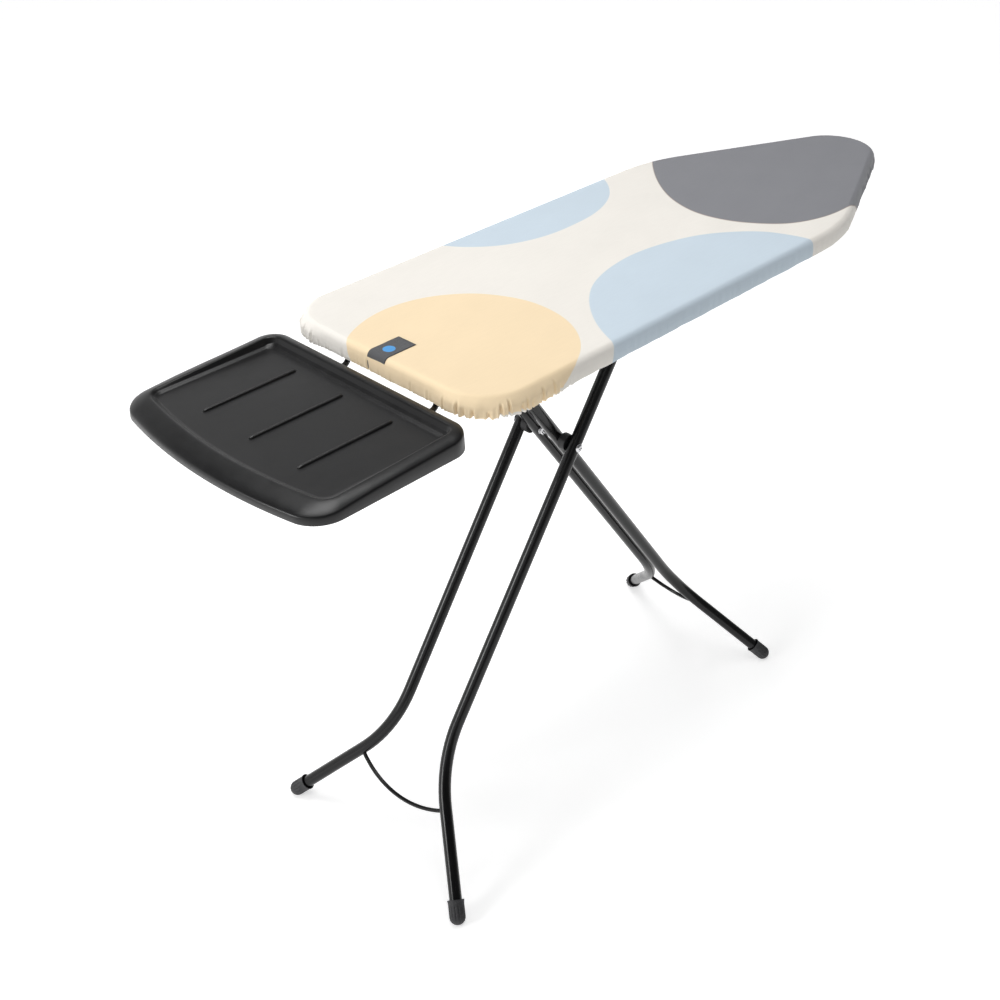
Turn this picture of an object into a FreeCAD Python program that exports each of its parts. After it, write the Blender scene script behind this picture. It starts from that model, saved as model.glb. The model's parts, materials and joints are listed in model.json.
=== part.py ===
import FreeCAD, Part
import math
import os

import Sketcher
from FreeCAD import Placement, Rotation, Vector

# Ironing board with a crossed four-foot frame and a moulded rest for a steam unit.
# Row frame: +Z up, +X from the steam-unit rest to the nose, origin on the floor under the
# middle of the overall length. Board places are measured from the board's square end.

doc = FreeCAD.newDocument("ironing_board")

SIZES = [
    ("board_length", 1229, "square end to nose tip, over the cover"),
    ("board_width", 450, "over the cover"),
    ("work_height", 966, "floor to the top of the cover"),
    ("corner_radius", 80, "square-end corners"),
    ("straight_end", 796, "where the long sides begin to turn in"),
    ("shoulder_radius", 305, "turn from side to taper"),
    ("nose_radius", 82, "rounding of the nose"),
    ("cover_cloth", 1, "cotton cover"),
    ("cover_skirt", 33, "depth of the cover's side"),
    ("hem_width", 34, "cover turned under the rim"),
    ("foam_layer", 4, "foam under the cover"),
    ("felt_layer", 4, "felt under the foam"),
    ("sheet_metal", 1.6, "expanded metal top"),
    ("sheet_border", 26, "plain border of the metal top"),
    ("cell_length", 56, "expanded metal cell along the board"),
    ("cell_width", 26, "expanded metal cell across the board"),
    ("cell_web", 7, "strand between two cells"),
    ("rim_width", 16, "rolled rim channel"),
    ("rim_depth", 17, "rolled rim channel"),
    ("rim_wall", 1.5, "rolled rim channel"),
    ("cord_width", 3, "drawcord in the hem"),
    ("bar_width", 20, "cross bars under the metal top"),
    ("bar_depth", 10, "cross bars under the metal top"),
    ("bar_wall", 1.5, "cross bars under the metal top"),
    ("leg_radius", 11, "leg tube"),
    ("leg_wall", 1.5, "leg tube wall"),
    ("leg_angle", 55.6, "leg to floor at the highest setting"),
    ("fold_angle", 3.5, "leg to board when folded"),
    ("pivot_height", 679, "floor to scissor bolt"),
    ("pivot_reach", 354, "square end to scissor bolt"),
    ("outer_gauge", 62, "middle line to each outer leg"),
    ("inner_gauge", 25, "middle line to each inner leg"),
    ("outer_spread", 218, "middle line to each outer foot"),
    ("inner_spread", 179, "middle line to each inner foot"),
    ("outer_bend", 235, "bend radius of the outer legs"),
    ("inner_bend", 225, "bend radius of the inner legs"),
    ("outer_splay", 37, "how far the lower outer legs turn outwards"),
    ("inner_splay", 37, "how far the lower inner legs turn outwards"),
    ("plug_cap", 1.2, "head of a leg tube's plug"),
    ("foot_radius", 14, "rubber foot"),
    ("foot_length", 28, "foot centre to the mouth of its cap"),
    ("foot_flat", 13.4, "foot centre to the floor"),
    ("brace_radius", 3.6, "brace rod between two feet"),
    ("brace_sag", 28, "how far a brace rod bows"),
    ("outer_brace_place", 154, "up the slope from the floor to the outer brace's ends"),
    ("inner_brace_place", 160, "up the slope from the floor to the inner brace's ends"),
    ("bolt_radius", 4, "scissor bolt"),
    ("bolt_head", 8, "scissor bolt's domed head"),
    ("nut_height", 6, "lock nut on the scissor bolt"),
    ("thin_washer", 1.2, "steel washer under the lock nut"),
    ("washer_radius", 15, "plastic spacer at the scissor bolt"),
    ("axle_radius", 5, "hinge axle and slider axle"),
    ("running_fit", 0.08, "radial clearance of a turning fit"),
    ("side_play", 0.4, "gap between neighbours on one axle"),
    ("hinge_margin", 12, "hinge plate below the axle"),
    ("clip_width", 3, "ring clip proud of the hinge axle"),
    ("clip_thickness", 1.5, "ring clip on the hinge axle"),
    ("rail_height", 29.4, "slider rail"),
    ("rail_width", 18, "slider rail"),
    ("rail_wall", 2, "slider rail"),
    ("rail_gauge", 76, "middle line to a slider rail's open side"),
    ("latch_rod", 3.5, "torsion rod of the height latch"),
    ("latch_gauge", 43.5, "middle line to the torsion rod and to the toothed bar"),
    ("rod_clearance", 0.9, "torsion rod to the cross bars above it"),
    ("latch_depth", 12, "toothed bar"),
    ("latch_plate", 4, "thickness of the toothed bar, its arms and the hinge plates"),
    ("latch_travel", 4, "degrees the release lever turns"),
    ("tooth_pitch", 38, "step between two height settings"),
    ("lever_place", 80, "square end to the release lever"),
    ("lever_width", 24, "release lever"),
    ("lever_plate", 7, "thickness of the release lever's arm"),
    ("lever_reach", 186, "middle line to the lever's tip"),
    ("bearing_width", 8, "plastic bearing of the torsion rod"),
    ("bearing_wall", 2, "plastic bearing of the torsion rod"),
    ("spring_wire", 0.8, "wire radius of the latch spring"),
    ("spring_coils", 7, "turns of the latch spring"),
    ("lock_place", 250, "square end to the transport lock"),
    ("lock_drop", 30, "axle down to the transport lock's bar"),
    ("lock_length", 64, "transport lock's bar"),
    ("lock_width", 12, "transport lock's bar"),
    ("lock_height", 7, "transport lock's bar"),
    ("lock_pin", 3, "pin of the transport lock in its plate"),
    ("lock_stem", 5, "stem of the transport lock"),
    ("lock_plate_width", 20, "plate that holds the transport lock"),
    ("tray_gap", 20, "square end to the steam-unit rest"),
    ("tray_reach", 322, "square end to the front of the rest"),
    ("tray_width", 450, "steam-unit rest"),
    ("tray_rim", 944, "floor to the rim of the rest at its back"),
    ("tray_floor", 930.5, "floor to the recess of the rest"),
    ("tray_base", 914, "floor to the lower edge of the rest"),
    ("tray_wall", 3, "moulding wall"),
    ("tray_back_corner", 35, "plan radius at the back of the rest"),
    ("tray_front_corner", 60, "plan radius at the front of the rest"),
    ("tray_bow", 930, "plan radius of the front edge of the rest"),
    ("tray_lip", 35, "sloping front lip of the rest"),
    ("tray_side", 18, "side of the rest down to its recess"),
    ("recess_slope", 6, "sloping wall round the recess, in plan"),
    ("recess_bow", 900, "plan radius of the front of the recess"),
    ("rest_rib", 3.5, "height of the three raised ribs"),
    ("rib_radius", 4.5, "rounding of a rib"),
    ("rib_start", 67, "square end to the back of the ribs"),
    ("rib_end", 235, "square end to the front of the ribs"),
    ("rib_gauge", 108, "middle line to the outer ribs"),
    ("rest_rod", 4.5, "steel rods that carry the rest"),
    ("rod_gauge", 99, "middle line to each rod"),
    ("rod_front", 190, "square end to the front of a rod"),
    ("rod_knee", 16.5, "square end to where a rod begins to climb"),
    ("rod_rise", 19.5, "how far a rod climbs under the board's end"),
    ("rod_climb", 57, "rod to the level where it climbs, degrees"),
    ("rod_bend", 12, "bend radius of a rod"),
    ("clamp_width", 18, "clamp or hanger of a rod, across the board"),
    ("clamp_length", 20, "clamp of a rod, along the board"),
    ("clamp_wall", 2, "clamp or hanger under a rod"),
    ("label_width", 39, "woven ribbon sewn on the cover"),
    ("label_length", 62, "ribbon on the top of the cover"),
    ("label_place", 15, "middle line to the ribbon's near edge"),
    ("label_thickness", 0.6, "ribbon, pressed flush into the cover"),
]

sheet = doc.addObject("Spreadsheet::Sheet", "sizes")
for row, (name, number, note) in enumerate(SIZES, start=1):
    sheet.set(f"A{row}", name)
    sheet.set(f"B{row}", str(number))
    sheet.set(f"C{row}", note)
    sheet.setAlias(f"B{row}", name)
doc.recompute()


def size(name):
    """A driving dimension, in mm or degrees."""
    return float(sheet.get(name))


X_AXIS = Vector(1, 0, 0)
Y_AXIS = Vector(0, 1, 0)
Z_AXIS = Vector(0, 0, 1)
SIDES = (("near", -1), ("far", 1))
ORIGIN_X = (size("board_length") - size("tray_reach")) / 2
subparts = []


def at(x, y, z):
    """A place given from the board's square end, in the row frame."""
    return Vector(x - ORIGIN_X, y, z)


def keep(item, label):
    """Makes an object one of the named sub-parts."""
    item.Label = label
    subparts.append(item)
    return item


def bind(item, **sizes):
    """Ties an object's properties to expressions over the sheet."""
    for name, expression in sizes.items():
        item.setExpression(name, expression)
    return item


# ---------------------------------------------------------------- levels, from the top down
cover_top = size("work_height")
foam_top = cover_top - size("cover_cloth")
felt_top = foam_top - size("foam_layer")
metal_top = felt_top - size("felt_layer")
metal_base = metal_top - size("sheet_metal")
bar_base = metal_base - size("bar_depth")
skirt_base = cover_top - size("cover_skirt")
axle_level = bar_base - size("rail_height") / 2
rod_level = bar_base - size("latch_rod") - size("rod_clearance")
rest_rod_level = size("tray_base") - size("rest_rod") - size("side_play")

# ---------------------------------------------------------------- the scissor at rest
leg_slope = math.radians(size("leg_angle"))
upper_leg = (axle_level - size("pivot_height")) / math.sin(leg_slope)
lower_leg = (size("pivot_height") - size("foot_flat")) / math.sin(leg_slope)
hinge_x = size("pivot_reach") - upper_leg * math.cos(leg_slope)
slider_x = size("pivot_reach") + upper_leg * math.cos(leg_slope)
slider_folded_x = hinge_x + 2 * upper_leg * math.cos(math.radians(size("fold_angle")))
leg_headroom = size("rail_height") / 2 - 2 * size("side_play") - size("leg_radius") * math.cos(leg_slope)
leg_over = leg_headroom / math.sin(leg_slope) - size("plug_cap")

# ---------------------------------------------------------------- places shared under the board
rim_inset = size("cover_cloth") + size("side_play")
cheek_gauge = size("latch_gauge") + size("latch_rod") + size("side_play") + size("bearing_wall")
sleeve_radius = rod_level - size("latch_rod") - size("side_play") - axle_level
bar_back_x = size("hem_width") + size("cord_width") + size("clamp_length") / 2 + 6
latch_near = slider_x - size("axle_radius") - size("side_play") * 5
rail_start = latch_near - size("latch_plate") - size("bar_width") - 4
rail_end = slider_folded_x + size("rail_height") / 2 + 8
latch_far = slider_folded_x + size("axle_radius") + 14
rod_end = bar_back_x + size("clamp_length") / 2


# ---------------------------------------------------------------- general builders
def cylinder(name, radius, height, place, axis):
    """A Part cylinder with bound radius and height, from place along axis."""
    item = doc.addObject("Part::Cylinder", name)
    bind(item, Radius=radius, Height=height)
    item.Placement = Placement(place, Rotation(Z_AXIS, axis))
    return item


def block(name, length, width, height, corner):
    """A Part box with bound sides and its low corner at a place."""
    item = doc.addObject("Part::Box", name)
    bind(item, Length=length, Width=width, Height=height)
    item.Placement = Placement(corner, Rotation())
    return item


def cut(name, base, tools):
    """Base less one or more tools."""
    item = doc.addObject("Part::Cut", name)
    item.Base = base
    item.Tool = tools[0] if len(tools) == 1 else fuse(name + "_tools", tools)
    return item


def fuse(name, pieces):
    """One solid from several that touch or overlap."""
    item = doc.addObject("Part::MultiFuse", name)
    item.Shapes = pieces
    return item


def group(name, pieces):
    """Several separate solids kept as one sub-part."""
    item = doc.addObject("Part::Compound", name)
    item.Links = pieces
    return item


def common(name, first, second):
    """What two solids share."""
    item = doc.addObject("Part::Common", name)
    item.Base = first
    item.Tool = second
    return item


def new_body(name, place):
    """A PartDesign body at a placement."""
    item = doc.addObject("PartDesign::Body", name)
    item.Placement = place
    return item


def sketch_on(body, role, name, lift=0.0):
    """A sketch on one of a body's own origin planes, raised along the plane's normal."""
    item = body.newObject("Sketcher::SketchObject", name)
    plane = next(f for f in body.Origin.OriginFeatures if f.Role == role)
    item.AttachmentSupport = [(plane, "")]
    item.MapMode = "FlatFace"
    item.AttachmentOffset = Placement(Vector(0, 0, lift), Rotation())
    return item


def add_circle(sketch, radius_expression, x=0.0, y=0.0):
    """A circle whose radius is bound to the sheet."""
    index = sketch.addGeometry(Part.Circle(Vector(x, y, 0), Z_AXIS, 1.0), False)
    number = sketch.addConstraint(Sketcher.Constraint("Radius", index, 1.0))
    sketch.setExpression(f"Constraints[{number}]", radius_expression)


def pad(body, sketch, name, length):
    """A pad of a sketch, its length bound to the sheet."""
    item = body.newObject("PartDesign::Pad", name)
    item.Profile = sketch
    return bind(item, Length=length)


def pipe(body, profile, spine, name):
    """A profile carried along a spine sketch."""
    item = body.newObject("PartDesign::AdditivePipe", name)
    item.Profile = profile
    item.Spine = (spine, [])
    return item


def arc_between(center, radius, start, end):
    """A circle's arc from one angle to another, anticlockwise, in the sketch plane."""
    return Part.ArcOfCircle(Part.Circle(center, Z_AXIS, radius), start, end)


def line_between(a, b):
    """A straight sketch line."""
    return Part.LineSegment(a, b)


def joined(arcs):
    """A closed outline: the given arcs in order, with straight lines between them."""
    parts = []
    for index, arc in enumerate(arcs):
        following = arcs[(index + 1) % len(arcs)]
        parts.append(arc)
        if (arc.EndPoint - following.StartPoint).Length > 1e-6:
            parts.append(line_between(arc.EndPoint, following.StartPoint))
    return parts


# ---------------------------------------------------------------- board outline
def board_outline(inset):
    """The board's plan, square end at X = 0, moved inwards by inset."""
    half = size("board_width") / 2
    length = size("board_length")
    corner = size("corner_radius")
    shoulder = size("shoulder_radius")
    nose = size("nose_radius")
    start = size("straight_end")
    across = half - shoulder
    along = start - (length - nose)
    reach = math.hypot(along, across)
    taper = math.atan2(along, across) + math.acos((nose - shoulder) / reach)
    quarter = math.pi / 2
    return joined([
        arc_between(Vector(corner, half - corner, 0), corner - inset, quarter, 2 * quarter),
        arc_between(Vector(corner, corner - half, 0), corner - inset, 2 * quarter, 3 * quarter),
        arc_between(Vector(start, -across, 0), shoulder - inset, 3 * quarter, 3 * quarter + taper),
        arc_between(Vector(length - nose, 0, 0), nose - inset, taper - quarter, quarter - taper),
        arc_between(Vector(start, across, 0), shoulder - inset, quarter - taper, quarter),
    ])


def face_of(outline):
    """A flat face inside a closed outline."""
    return Part.Face(Part.Wire(Part.__sortEdges__([piece.toShape() for piece in outline])))


def board_layer(label, inset, base, thickness):
    """A flat layer with the board's plan."""
    body = new_body(label, Placement(at(0, 0, base), Rotation()))
    plan = sketch_on(body, "XY_Plane", label + "_plan")
    plan.addGeometry(board_outline(inset), False)
    pad(body, plan, label + "_pad", thickness)
    return body


def pocket(body, outline, name, level, length):
    """Cuts an outline upwards from a level of the body, and says so if nothing was cut."""
    doc.recompute()
    before = body.Shape.Volume
    plan = sketch_on(body, "XY_Plane", name + "_plan", level)
    plan.addGeometry(outline, False)
    item = body.newObject("PartDesign::Pocket", name)
    item.Profile = plan
    item.Reversed = True
    bind(item, Length=length)
    doc.recompute()
    if not body.Shape.Volume < before - 1:
        raise RuntimeError(f"{name} cut nothing")


def make_cover(ribbon):
    """Cotton cover: top, side skirt and the hem turned under the rim, pressed in under the ribbon."""
    cloth = size("cover_cloth")
    body = board_layer("cover_cloth_body", 0, skirt_base, "sizes.cover_skirt")
    pocket(body, board_outline(cloth), "cover_inside", cloth, "sizes.cover_skirt - 2 * sizes.cover_cloth")
    pocket(body, board_outline(size("hem_width")), "cover_mouth", 0, "sizes.cover_cloth")
    keep(cut("cover", body, [ribbon]), "cover")


def make_layers():
    """Foam and felt between the cover and the metal top; the foam stays just under the cloth."""
    keep(board_layer("foam_layer", rim_inset, felt_top, "sizes.foam_layer - 0.3"), "foam_layer")
    keep(board_layer("felt_layer", rim_inset, metal_top, "sizes.felt_layer"), "felt_layer")


def make_drawcord():
    """Cord in the cover's hem that pulls it tight under the rim."""
    inset = size("hem_width") + size("side_play")
    body = board_layer("hem_drawcord", inset, skirt_base, "sizes.cord_width")
    pocket(body, board_outline(inset + size("cord_width")), "drawcord_inside", 0, "sizes.cord_width")
    keep(body, "hem_drawcord")


def make_rim():
    """Rolled steel channel round the metal top, open downwards."""
    wall = size("rim_wall")
    width = size("rim_width")
    body = board_layer("rim", rim_inset, metal_base - size("rim_depth"), "sizes.rim_depth")
    pocket(body, board_outline(rim_inset + width), "rim_inside", 0, "sizes.rim_depth")
    groove = board_outline(rim_inset + wall) + board_outline(rim_inset + width - wall)
    pocket(body, groove, "rim_groove", 0, "sizes.rim_depth - sizes.rim_wall")
    keep(body, "rim")


def make_metal_top():
    """Expanded metal top: plain border and staggered lozenge openings."""
    safe = face_of(board_outline(rim_inset + size("sheet_border")))
    half_long = (size("cell_length") - size("cell_web") * 1.6) / 2
    half_wide = (size("cell_width") - size("cell_web")) / 2
    columns = int(size("board_length") / (size("cell_length") / 2)) + 1
    rows = int(size("board_width") / size("cell_width")) + 2
    holes = []
    for column in range(columns):
        x = column * size("cell_length") / 2
        shift = size("cell_width") / 2 if column % 2 else 0.0
        for row in range(-rows // 2, rows // 2 + 1):
            y = row * size("cell_width") + shift
            corners = [Vector(x - half_long, y, 0), Vector(x, y - half_wide, 0),
                       Vector(x + half_long, y, 0), Vector(x, y + half_wide, 0)]
            if all(safe.isInside(corner, 0.01, True) for corner in corners):
                holes.append(Part.makePolygon(corners + corners[:1]))
    item = doc.addObject("Part::Feature", "metal_top")
    border = face_of(board_outline(rim_inset)).OuterWire
    pierced = Part.makeFace([border] + holes, "Part::FaceMakerBullseye")
    item.Shape = pierced.extrude(Vector(0, 0, size("sheet_metal")))
    item.Placement = Placement(at(0, 0, metal_base), Rotation())
    keep(item, "metal_top")


# ---------------------------------------------------------------- under the board
def make_cross_bars():
    """Square tubes welded across the rim; they carry the hinge, the rails and the rest."""
    half_bar = size("bar_width") / 2
    places = {"back_cross_bar": bar_back_x, "hinge_cross_bar": hinge_x,
              "rail_cross_bar": rail_start + half_bar, "nose_cross_bar": rail_end + size("bar_width")}
    for label, x in places.items():
        reach = min(clear_half_width(x - half_bar), clear_half_width(x + half_bar))
        low = at(x - half_bar, -reach, bar_base)
        outer = block(label + "_outside", "sizes.bar_width", f"{2 * reach}", "sizes.bar_depth", low)
        inner = block(label + "_inside", "sizes.bar_width - 2 * sizes.bar_wall", f"{2 * reach + 2}",
                      "sizes.bar_depth - 2 * sizes.bar_wall",
                      low + Vector(size("bar_wall"), -1, size("bar_wall")))
        keep(cut(label, outer, [inner]), label)


def clear_half_width(x):
    """Half the clear width between the rims at a distance from the square end."""
    probe = Part.makeLine(Vector(x, 0, 0), Vector(x, size("board_width"), 0))
    return face_of(board_outline(rim_inset + size("rim_width"))).common(probe).Length


def make_hinge():
    """Two plates under the hinge bar that hold the fixed axle of the inner legs."""
    plate = size("latch_plate")
    below = size("hinge_margin")
    wide = size("bar_width") + 8
    for name, side in SIDES:
        y = side * cheek_gauge if side > 0 else side * cheek_gauge - plate
        label = f"hinge_plate_{name}"
        cheek = block(label + "_plate", f"{wide}", "sizes.latch_plate", f"{bar_base - axle_level + below}",
                      at(hinge_x - wide / 2, y, axle_level - below))
        bore = cylinder(label + "_bore", "sizes.axle_radius + sizes.running_fit", "2 * sizes.latch_plate",
                        at(hinge_x, y - plate / 2, axle_level), Y_AXIS)
        keep(cut(label, cheek, [bore]), label)
    reach = cheek_gauge + 2 * plate
    keep(cylinder("hinge_axle", "sizes.axle_radius", f"{2 * reach}", at(hinge_x, -reach, axle_level), Y_AXIS),
         "hinge_axle")
    thick = size("clip_thickness")
    clips = [ring(f"axle_clip_{name}", size("axle_radius"), size("axle_radius") + size("clip_width"), thick,
                  at(hinge_x, side * (cheek_gauge + 1.5 * plate) - thick / 2, axle_level), Y_AXIS)
             for name, side in SIDES]
    keep(group("axle_clips", clips), "axle_clips")


def ring(name, inner, outer, length, place, axis):
    """A plain ring or sleeve."""
    body = cylinder(name + "_outside", f"{outer}", f"{length}", place, axis)
    hole = cylinder(name + "_hole", f"{inner}", f"{length + 2}", place - axis, axis)
    return cut(name, body, [hole])


def make_rails():
    """Two channels, open towards the middle, in which the slider's glides run."""
    wall = size("rail_wall")
    for name, side in SIDES:
        label = f"slider_rail_{name}"
        inner_y = side * size("rail_gauge")
        low_y = min(inner_y, inner_y + side * size("rail_width"))
        outer = block(label + "_outside", f"{rail_end - rail_start}", "sizes.rail_width",
                      "sizes.rail_height", at(rail_start, low_y, axle_level - size("rail_height") / 2))
        hollow = block(label + "_hollow", f"{rail_end - rail_start + 2}",
                       "sizes.rail_width", "sizes.rail_height - 2 * sizes.rail_wall",
                       at(rail_start - 1, low_y - side * wall,
                          axle_level - size("rail_height") / 2 + wall))
        keep(cut(label, outer, [hollow]), label)


# ---------------------------------------------------------------- legs
class Leg:
    """One leg tube: a straight run, a bend that turns outwards and a straight run to the foot."""

    stop = 6.0  # the tube ends this far short of the foot's middle

    def __init__(self, side, top, down, gauge, spread, bend, splay):
        self.top = top
        self.down = down
        self.out = Y_AXIS * side
        self.gauge = gauge
        self.splay = math.radians(splay)
        self.bend = bend
        self.length = (top.z - size("foot_flat")) / -down.z
        self.corner = self.length - (spread - gauge) / math.tan(self.splay)
        self.tangent = bend * math.tan(self.splay / 2)

    def point(self, along, out):
        """A place in the leg's plane: along its straight run from the top, and outwards."""
        return self.top + self.down * along + self.out * out

    def foot(self):
        """The middle of the rubber foot."""
        run = self.length - self.corner
        return self.point(self.length, run * math.tan(self.splay))

    def foot_direction(self):
        """The lower run's direction, towards the floor."""
        return self.down * math.cos(self.splay) + self.out * math.sin(self.splay)

    def tube(self, name):
        """The bent hollow tube, ending inside its foot."""
        body = new_body(name, frame_of(self, self.top))
        spine = sketch_on(body, "XY_Plane", name + "_route")
        begin = self.corner - self.tangent
        quarter = math.pi / 2
        turn = arc_between(Vector(begin, self.bend, 0), self.bend, -quarter, self.splay - quarter)
        last = (self.length - self.corner) / math.cos(self.splay) - self.tangent - self.stop
        heading = Vector(math.cos(self.splay), math.sin(self.splay), 0)
        spine.addGeometry([line_between(Vector(0, 0, 0), turn.StartPoint), turn,
                           line_between(turn.EndPoint, turn.EndPoint + heading * last)], False)
        section = sketch_on(body, "YZ_Plane", name + "_section")
        add_circle(section, "sizes.leg_radius")
        add_circle(section, "sizes.leg_radius - sizes.leg_wall")
        pipe(body, section, spine, name + "_pipe")
        return body

    def out_at(self, along):
        """How far out the tube's middle line is, on or below the bend."""
        return (along - self.corner) * math.tan(self.splay)


def make_foot(leg, label):
    """Rubber cap with a domed end, a collar at its mouth and a small flat on the floor."""
    radius = size("foot_radius")
    reach = size("foot_length")
    collar_start = reach - 7
    collar = radius + 1
    axis = leg.foot_direction() * -1
    body = new_body(label + "_cap", Placement(leg.foot(), Rotation(X_AXIS, axis)))
    section = sketch_on(body, "XY_Plane", label + "_section")
    bore = size("leg_radius") + size("running_fit")
    seat = leg.stop - size("running_fit")
    dome = arc_between(Vector(0, 0, 0), radius, math.pi / 2, math.pi)
    corners = [Vector(0, radius, 0), Vector(collar_start, radius, 0), Vector(collar_start, collar, 0),
               Vector(reach, collar, 0), Vector(reach, bore, 0), Vector(seat, bore, 0), Vector(seat, 0, 0),
               Vector(-radius, 0, 0)]
    lines = [line_between(a, b) for a, b in zip(corners, corners[1:])]
    section.addGeometry([dome] + lines, False)
    turned = body.newObject("PartDesign::Revolution", label + "_turned")
    turned.Profile = section
    turned.ReferenceAxis = (section, ["H_Axis"])
    turned.Angle = 360
    floor = doc.addObject("Part::Box", label + "_floor")
    bind(floor, Length="4 * sizes.foot_radius", Width="4 * sizes.foot_radius", Height="2 * sizes.foot_radius")
    middle = leg.foot()
    corner = Vector(middle.x - 2 * radius, middle.y - 2 * radius, -2 * radius)
    floor.Placement = Placement(corner, Rotation())
    keep(cut(label, body, [floor]), label)


def frame_of(leg, place, turn=0.0):
    """A placement with X down the leg and Y outwards, turned in the leg's plane."""
    third = leg.down.cross(leg.out)
    matrix = FreeCAD.Matrix(leg.down.x, leg.out.x, third.x, place.x,
                            leg.down.y, leg.out.y, third.y, place.y,
                            leg.down.z, leg.out.z, third.z, place.z, 0, 0, 0, 1)
    return Placement(matrix).multiply(Placement(Vector(), Rotation(Z_AXIS, turn)))


def make_brace(leg, label, along_from_floor):
    """Curved steel rod between the two legs of a pair, bowed towards the floor."""
    sag = size("brace_sag")
    along = leg.length + size("foot_flat") / math.sin(leg_slope) - along_from_floor
    half = leg.gauge + leg.out_at(along) - size("leg_radius") * 0.75
    radius = (half ** 2 + sag ** 2) / (2 * sag)
    turn = math.degrees(math.asin(half / radius))
    middle = leg.top - leg.out * leg.gauge + leg.down * (along + sag - radius)
    rod = doc.addObject("Part::Torus", label)
    rod.Radius1 = radius
    rod.Angle3 = 2 * turn
    bind(rod, Radius2="sizes.brace_radius")
    rod.Placement = frame_of(leg, middle, -turn)
    keep(rod, label)


def drilled(label, base, holes):
    """A sub-part with round holes across it, each given by its middle and its radius expression."""
    tools = [cylinder(f"{label}_hole_{index}", radius, "4 * sizes.leg_radius",
                      middle - Y_AXIS * 2 * size("leg_radius"), Y_AXIS)
             for index, (middle, radius) in enumerate(holes)]
    return keep(cut(label, base, tools), label)


def make_legs():
    """Both pairs of legs with their feet and brace rods."""
    slope = {"inner": 1, "outer": -1}
    axles = {"inner": at(hinge_x, 0, axle_level), "outer": at(slider_x, 0, axle_level)}
    pivot = at(size("pivot_reach"), 0, size("pivot_height"))
    turning = "sizes.axle_radius + sizes.running_fit"
    fixed = "sizes.axle_radius"
    for pair in ("inner", "outer"):
        down = Vector(slope[pair] * math.cos(leg_slope), 0, -math.sin(leg_slope))
        for name, side in SIDES:
            gauge = Y_AXIS * side * size(f"{pair}_gauge")
            leg = Leg(side, axles[pair] + gauge - down * leg_over, down, size(f"{pair}_gauge"),
                      size(f"{pair}_spread"), size(f"{pair}_bend"), size(f"{pair}_splay"))
            label = f"{pair}_leg_{name}"
            top_fit = turning if pair == "inner" else fixed
            bolt_fit = "sizes.bolt_radius + sizes.running_fit" if pair == "inner" else "sizes.bolt_radius"
            drilled(label, leg.tube(label + "_tube"),
                    [(axles[pair] + gauge, top_fit), (pivot + gauge, bolt_fit)])
            make_foot(leg, f"{pair}_foot_{name}")
        make_brace(leg, f"{pair}_brace", size(f"{pair}_brace_place"))
        make_plugs(pair, axles[pair], down)


def make_plugs(pair, axle, down):
    """Plastic plugs in the open tops of a pair of legs."""
    plugs = []
    stem_length = leg_over + size("plug_cap") - size("axle_radius") - size("plug_cap") / 2
    for name, side in SIDES:
        place = axle + Y_AXIS * side * size(f"{pair}_gauge") - down * (leg_over + size("plug_cap"))
        label = f"{pair}_plug_{name}"
        cap = cylinder(label + "_cap", "sizes.leg_radius", "sizes.plug_cap", place, down)
        stem = cylinder(label + "_stem", "sizes.leg_radius - sizes.leg_wall - sizes.running_fit",
                        f"{stem_length}", place, down)
        plugs.append(fuse(label, [cap, stem]))
    keep(group(f"{pair}_tube_plugs", plugs), f"{pair}_tube_plugs")


# ---------------------------------------------------------------- scissor bolts, hinge and slider
def make_scissor_bolts():
    """On each side: a bolt, its lock nut, a washer and a plastic spacer between the two legs."""
    pivot = at(size("pivot_reach"), 0, size("pivot_height"))
    leg = size("leg_radius")
    play = size("side_play") / 2
    outer_face = size("outer_gauge") + leg
    outer_inside = size("outer_gauge") - leg
    inner_outside = size("inner_gauge") + leg
    inner_face = size("inner_gauge") - leg
    nut_face = inner_face - play - size("thin_washer")
    washers = []
    for name, side in SIDES:
        out = Y_AXIS * side
        label = f"scissor_bolt_{name}"
        shank_length = outer_face - nut_face + size("nut_height")
        shank = cylinder(label + "_shank", "sizes.bolt_radius", f"{shank_length}",
                         pivot + out * outer_face, out * -1)
        dome = doc.addObject("Part::Sphere", label + "_dome")
        bind(dome, Radius="1.25 * sizes.bolt_head")
        dome.Placement = Placement(pivot + out * (outer_face - size("bolt_head") * 0.75), Rotation())
        disc = cylinder(label + "_disc", "sizes.bolt_head", "sizes.bolt_head", pivot + out * outer_face, out)
        head = common(label + "_head", dome, disc)
        keep(fuse(label, [shank, head]), label)
        label = f"scissor_spacer_{name}"
        keep(ring(label, size("bolt_radius"), size("washer_radius"), outer_inside - inner_outside - 2 * play,
                  pivot + out * (inner_outside + 2 * play), out), label)
        washers.append(ring(f"bolt_washer_{name}", size("bolt_radius"), size("bolt_radius") * 2,
                            size("thin_washer"), pivot + out * (inner_face - play), out * -1))
        label = f"lock_nut_{name}"
        prism = doc.addObject("Part::Prism", label + "_prism")
        prism.Polygon = 6
        bind(prism, Circumradius="1.75 * sizes.bolt_radius", Height="sizes.nut_height")
        prism.Placement = Placement(pivot + out * nut_face, Rotation(Z_AXIS, out * -1))
        bore = cylinder(label + "_bore", "sizes.bolt_radius", "2 * sizes.nut_height",
                        pivot + out * (nut_face + 1), out * -1)
        keep(cut(label, prism, [bore]), label)
    keep(group("bolt_washers", washers), "bolt_washers")


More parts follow.
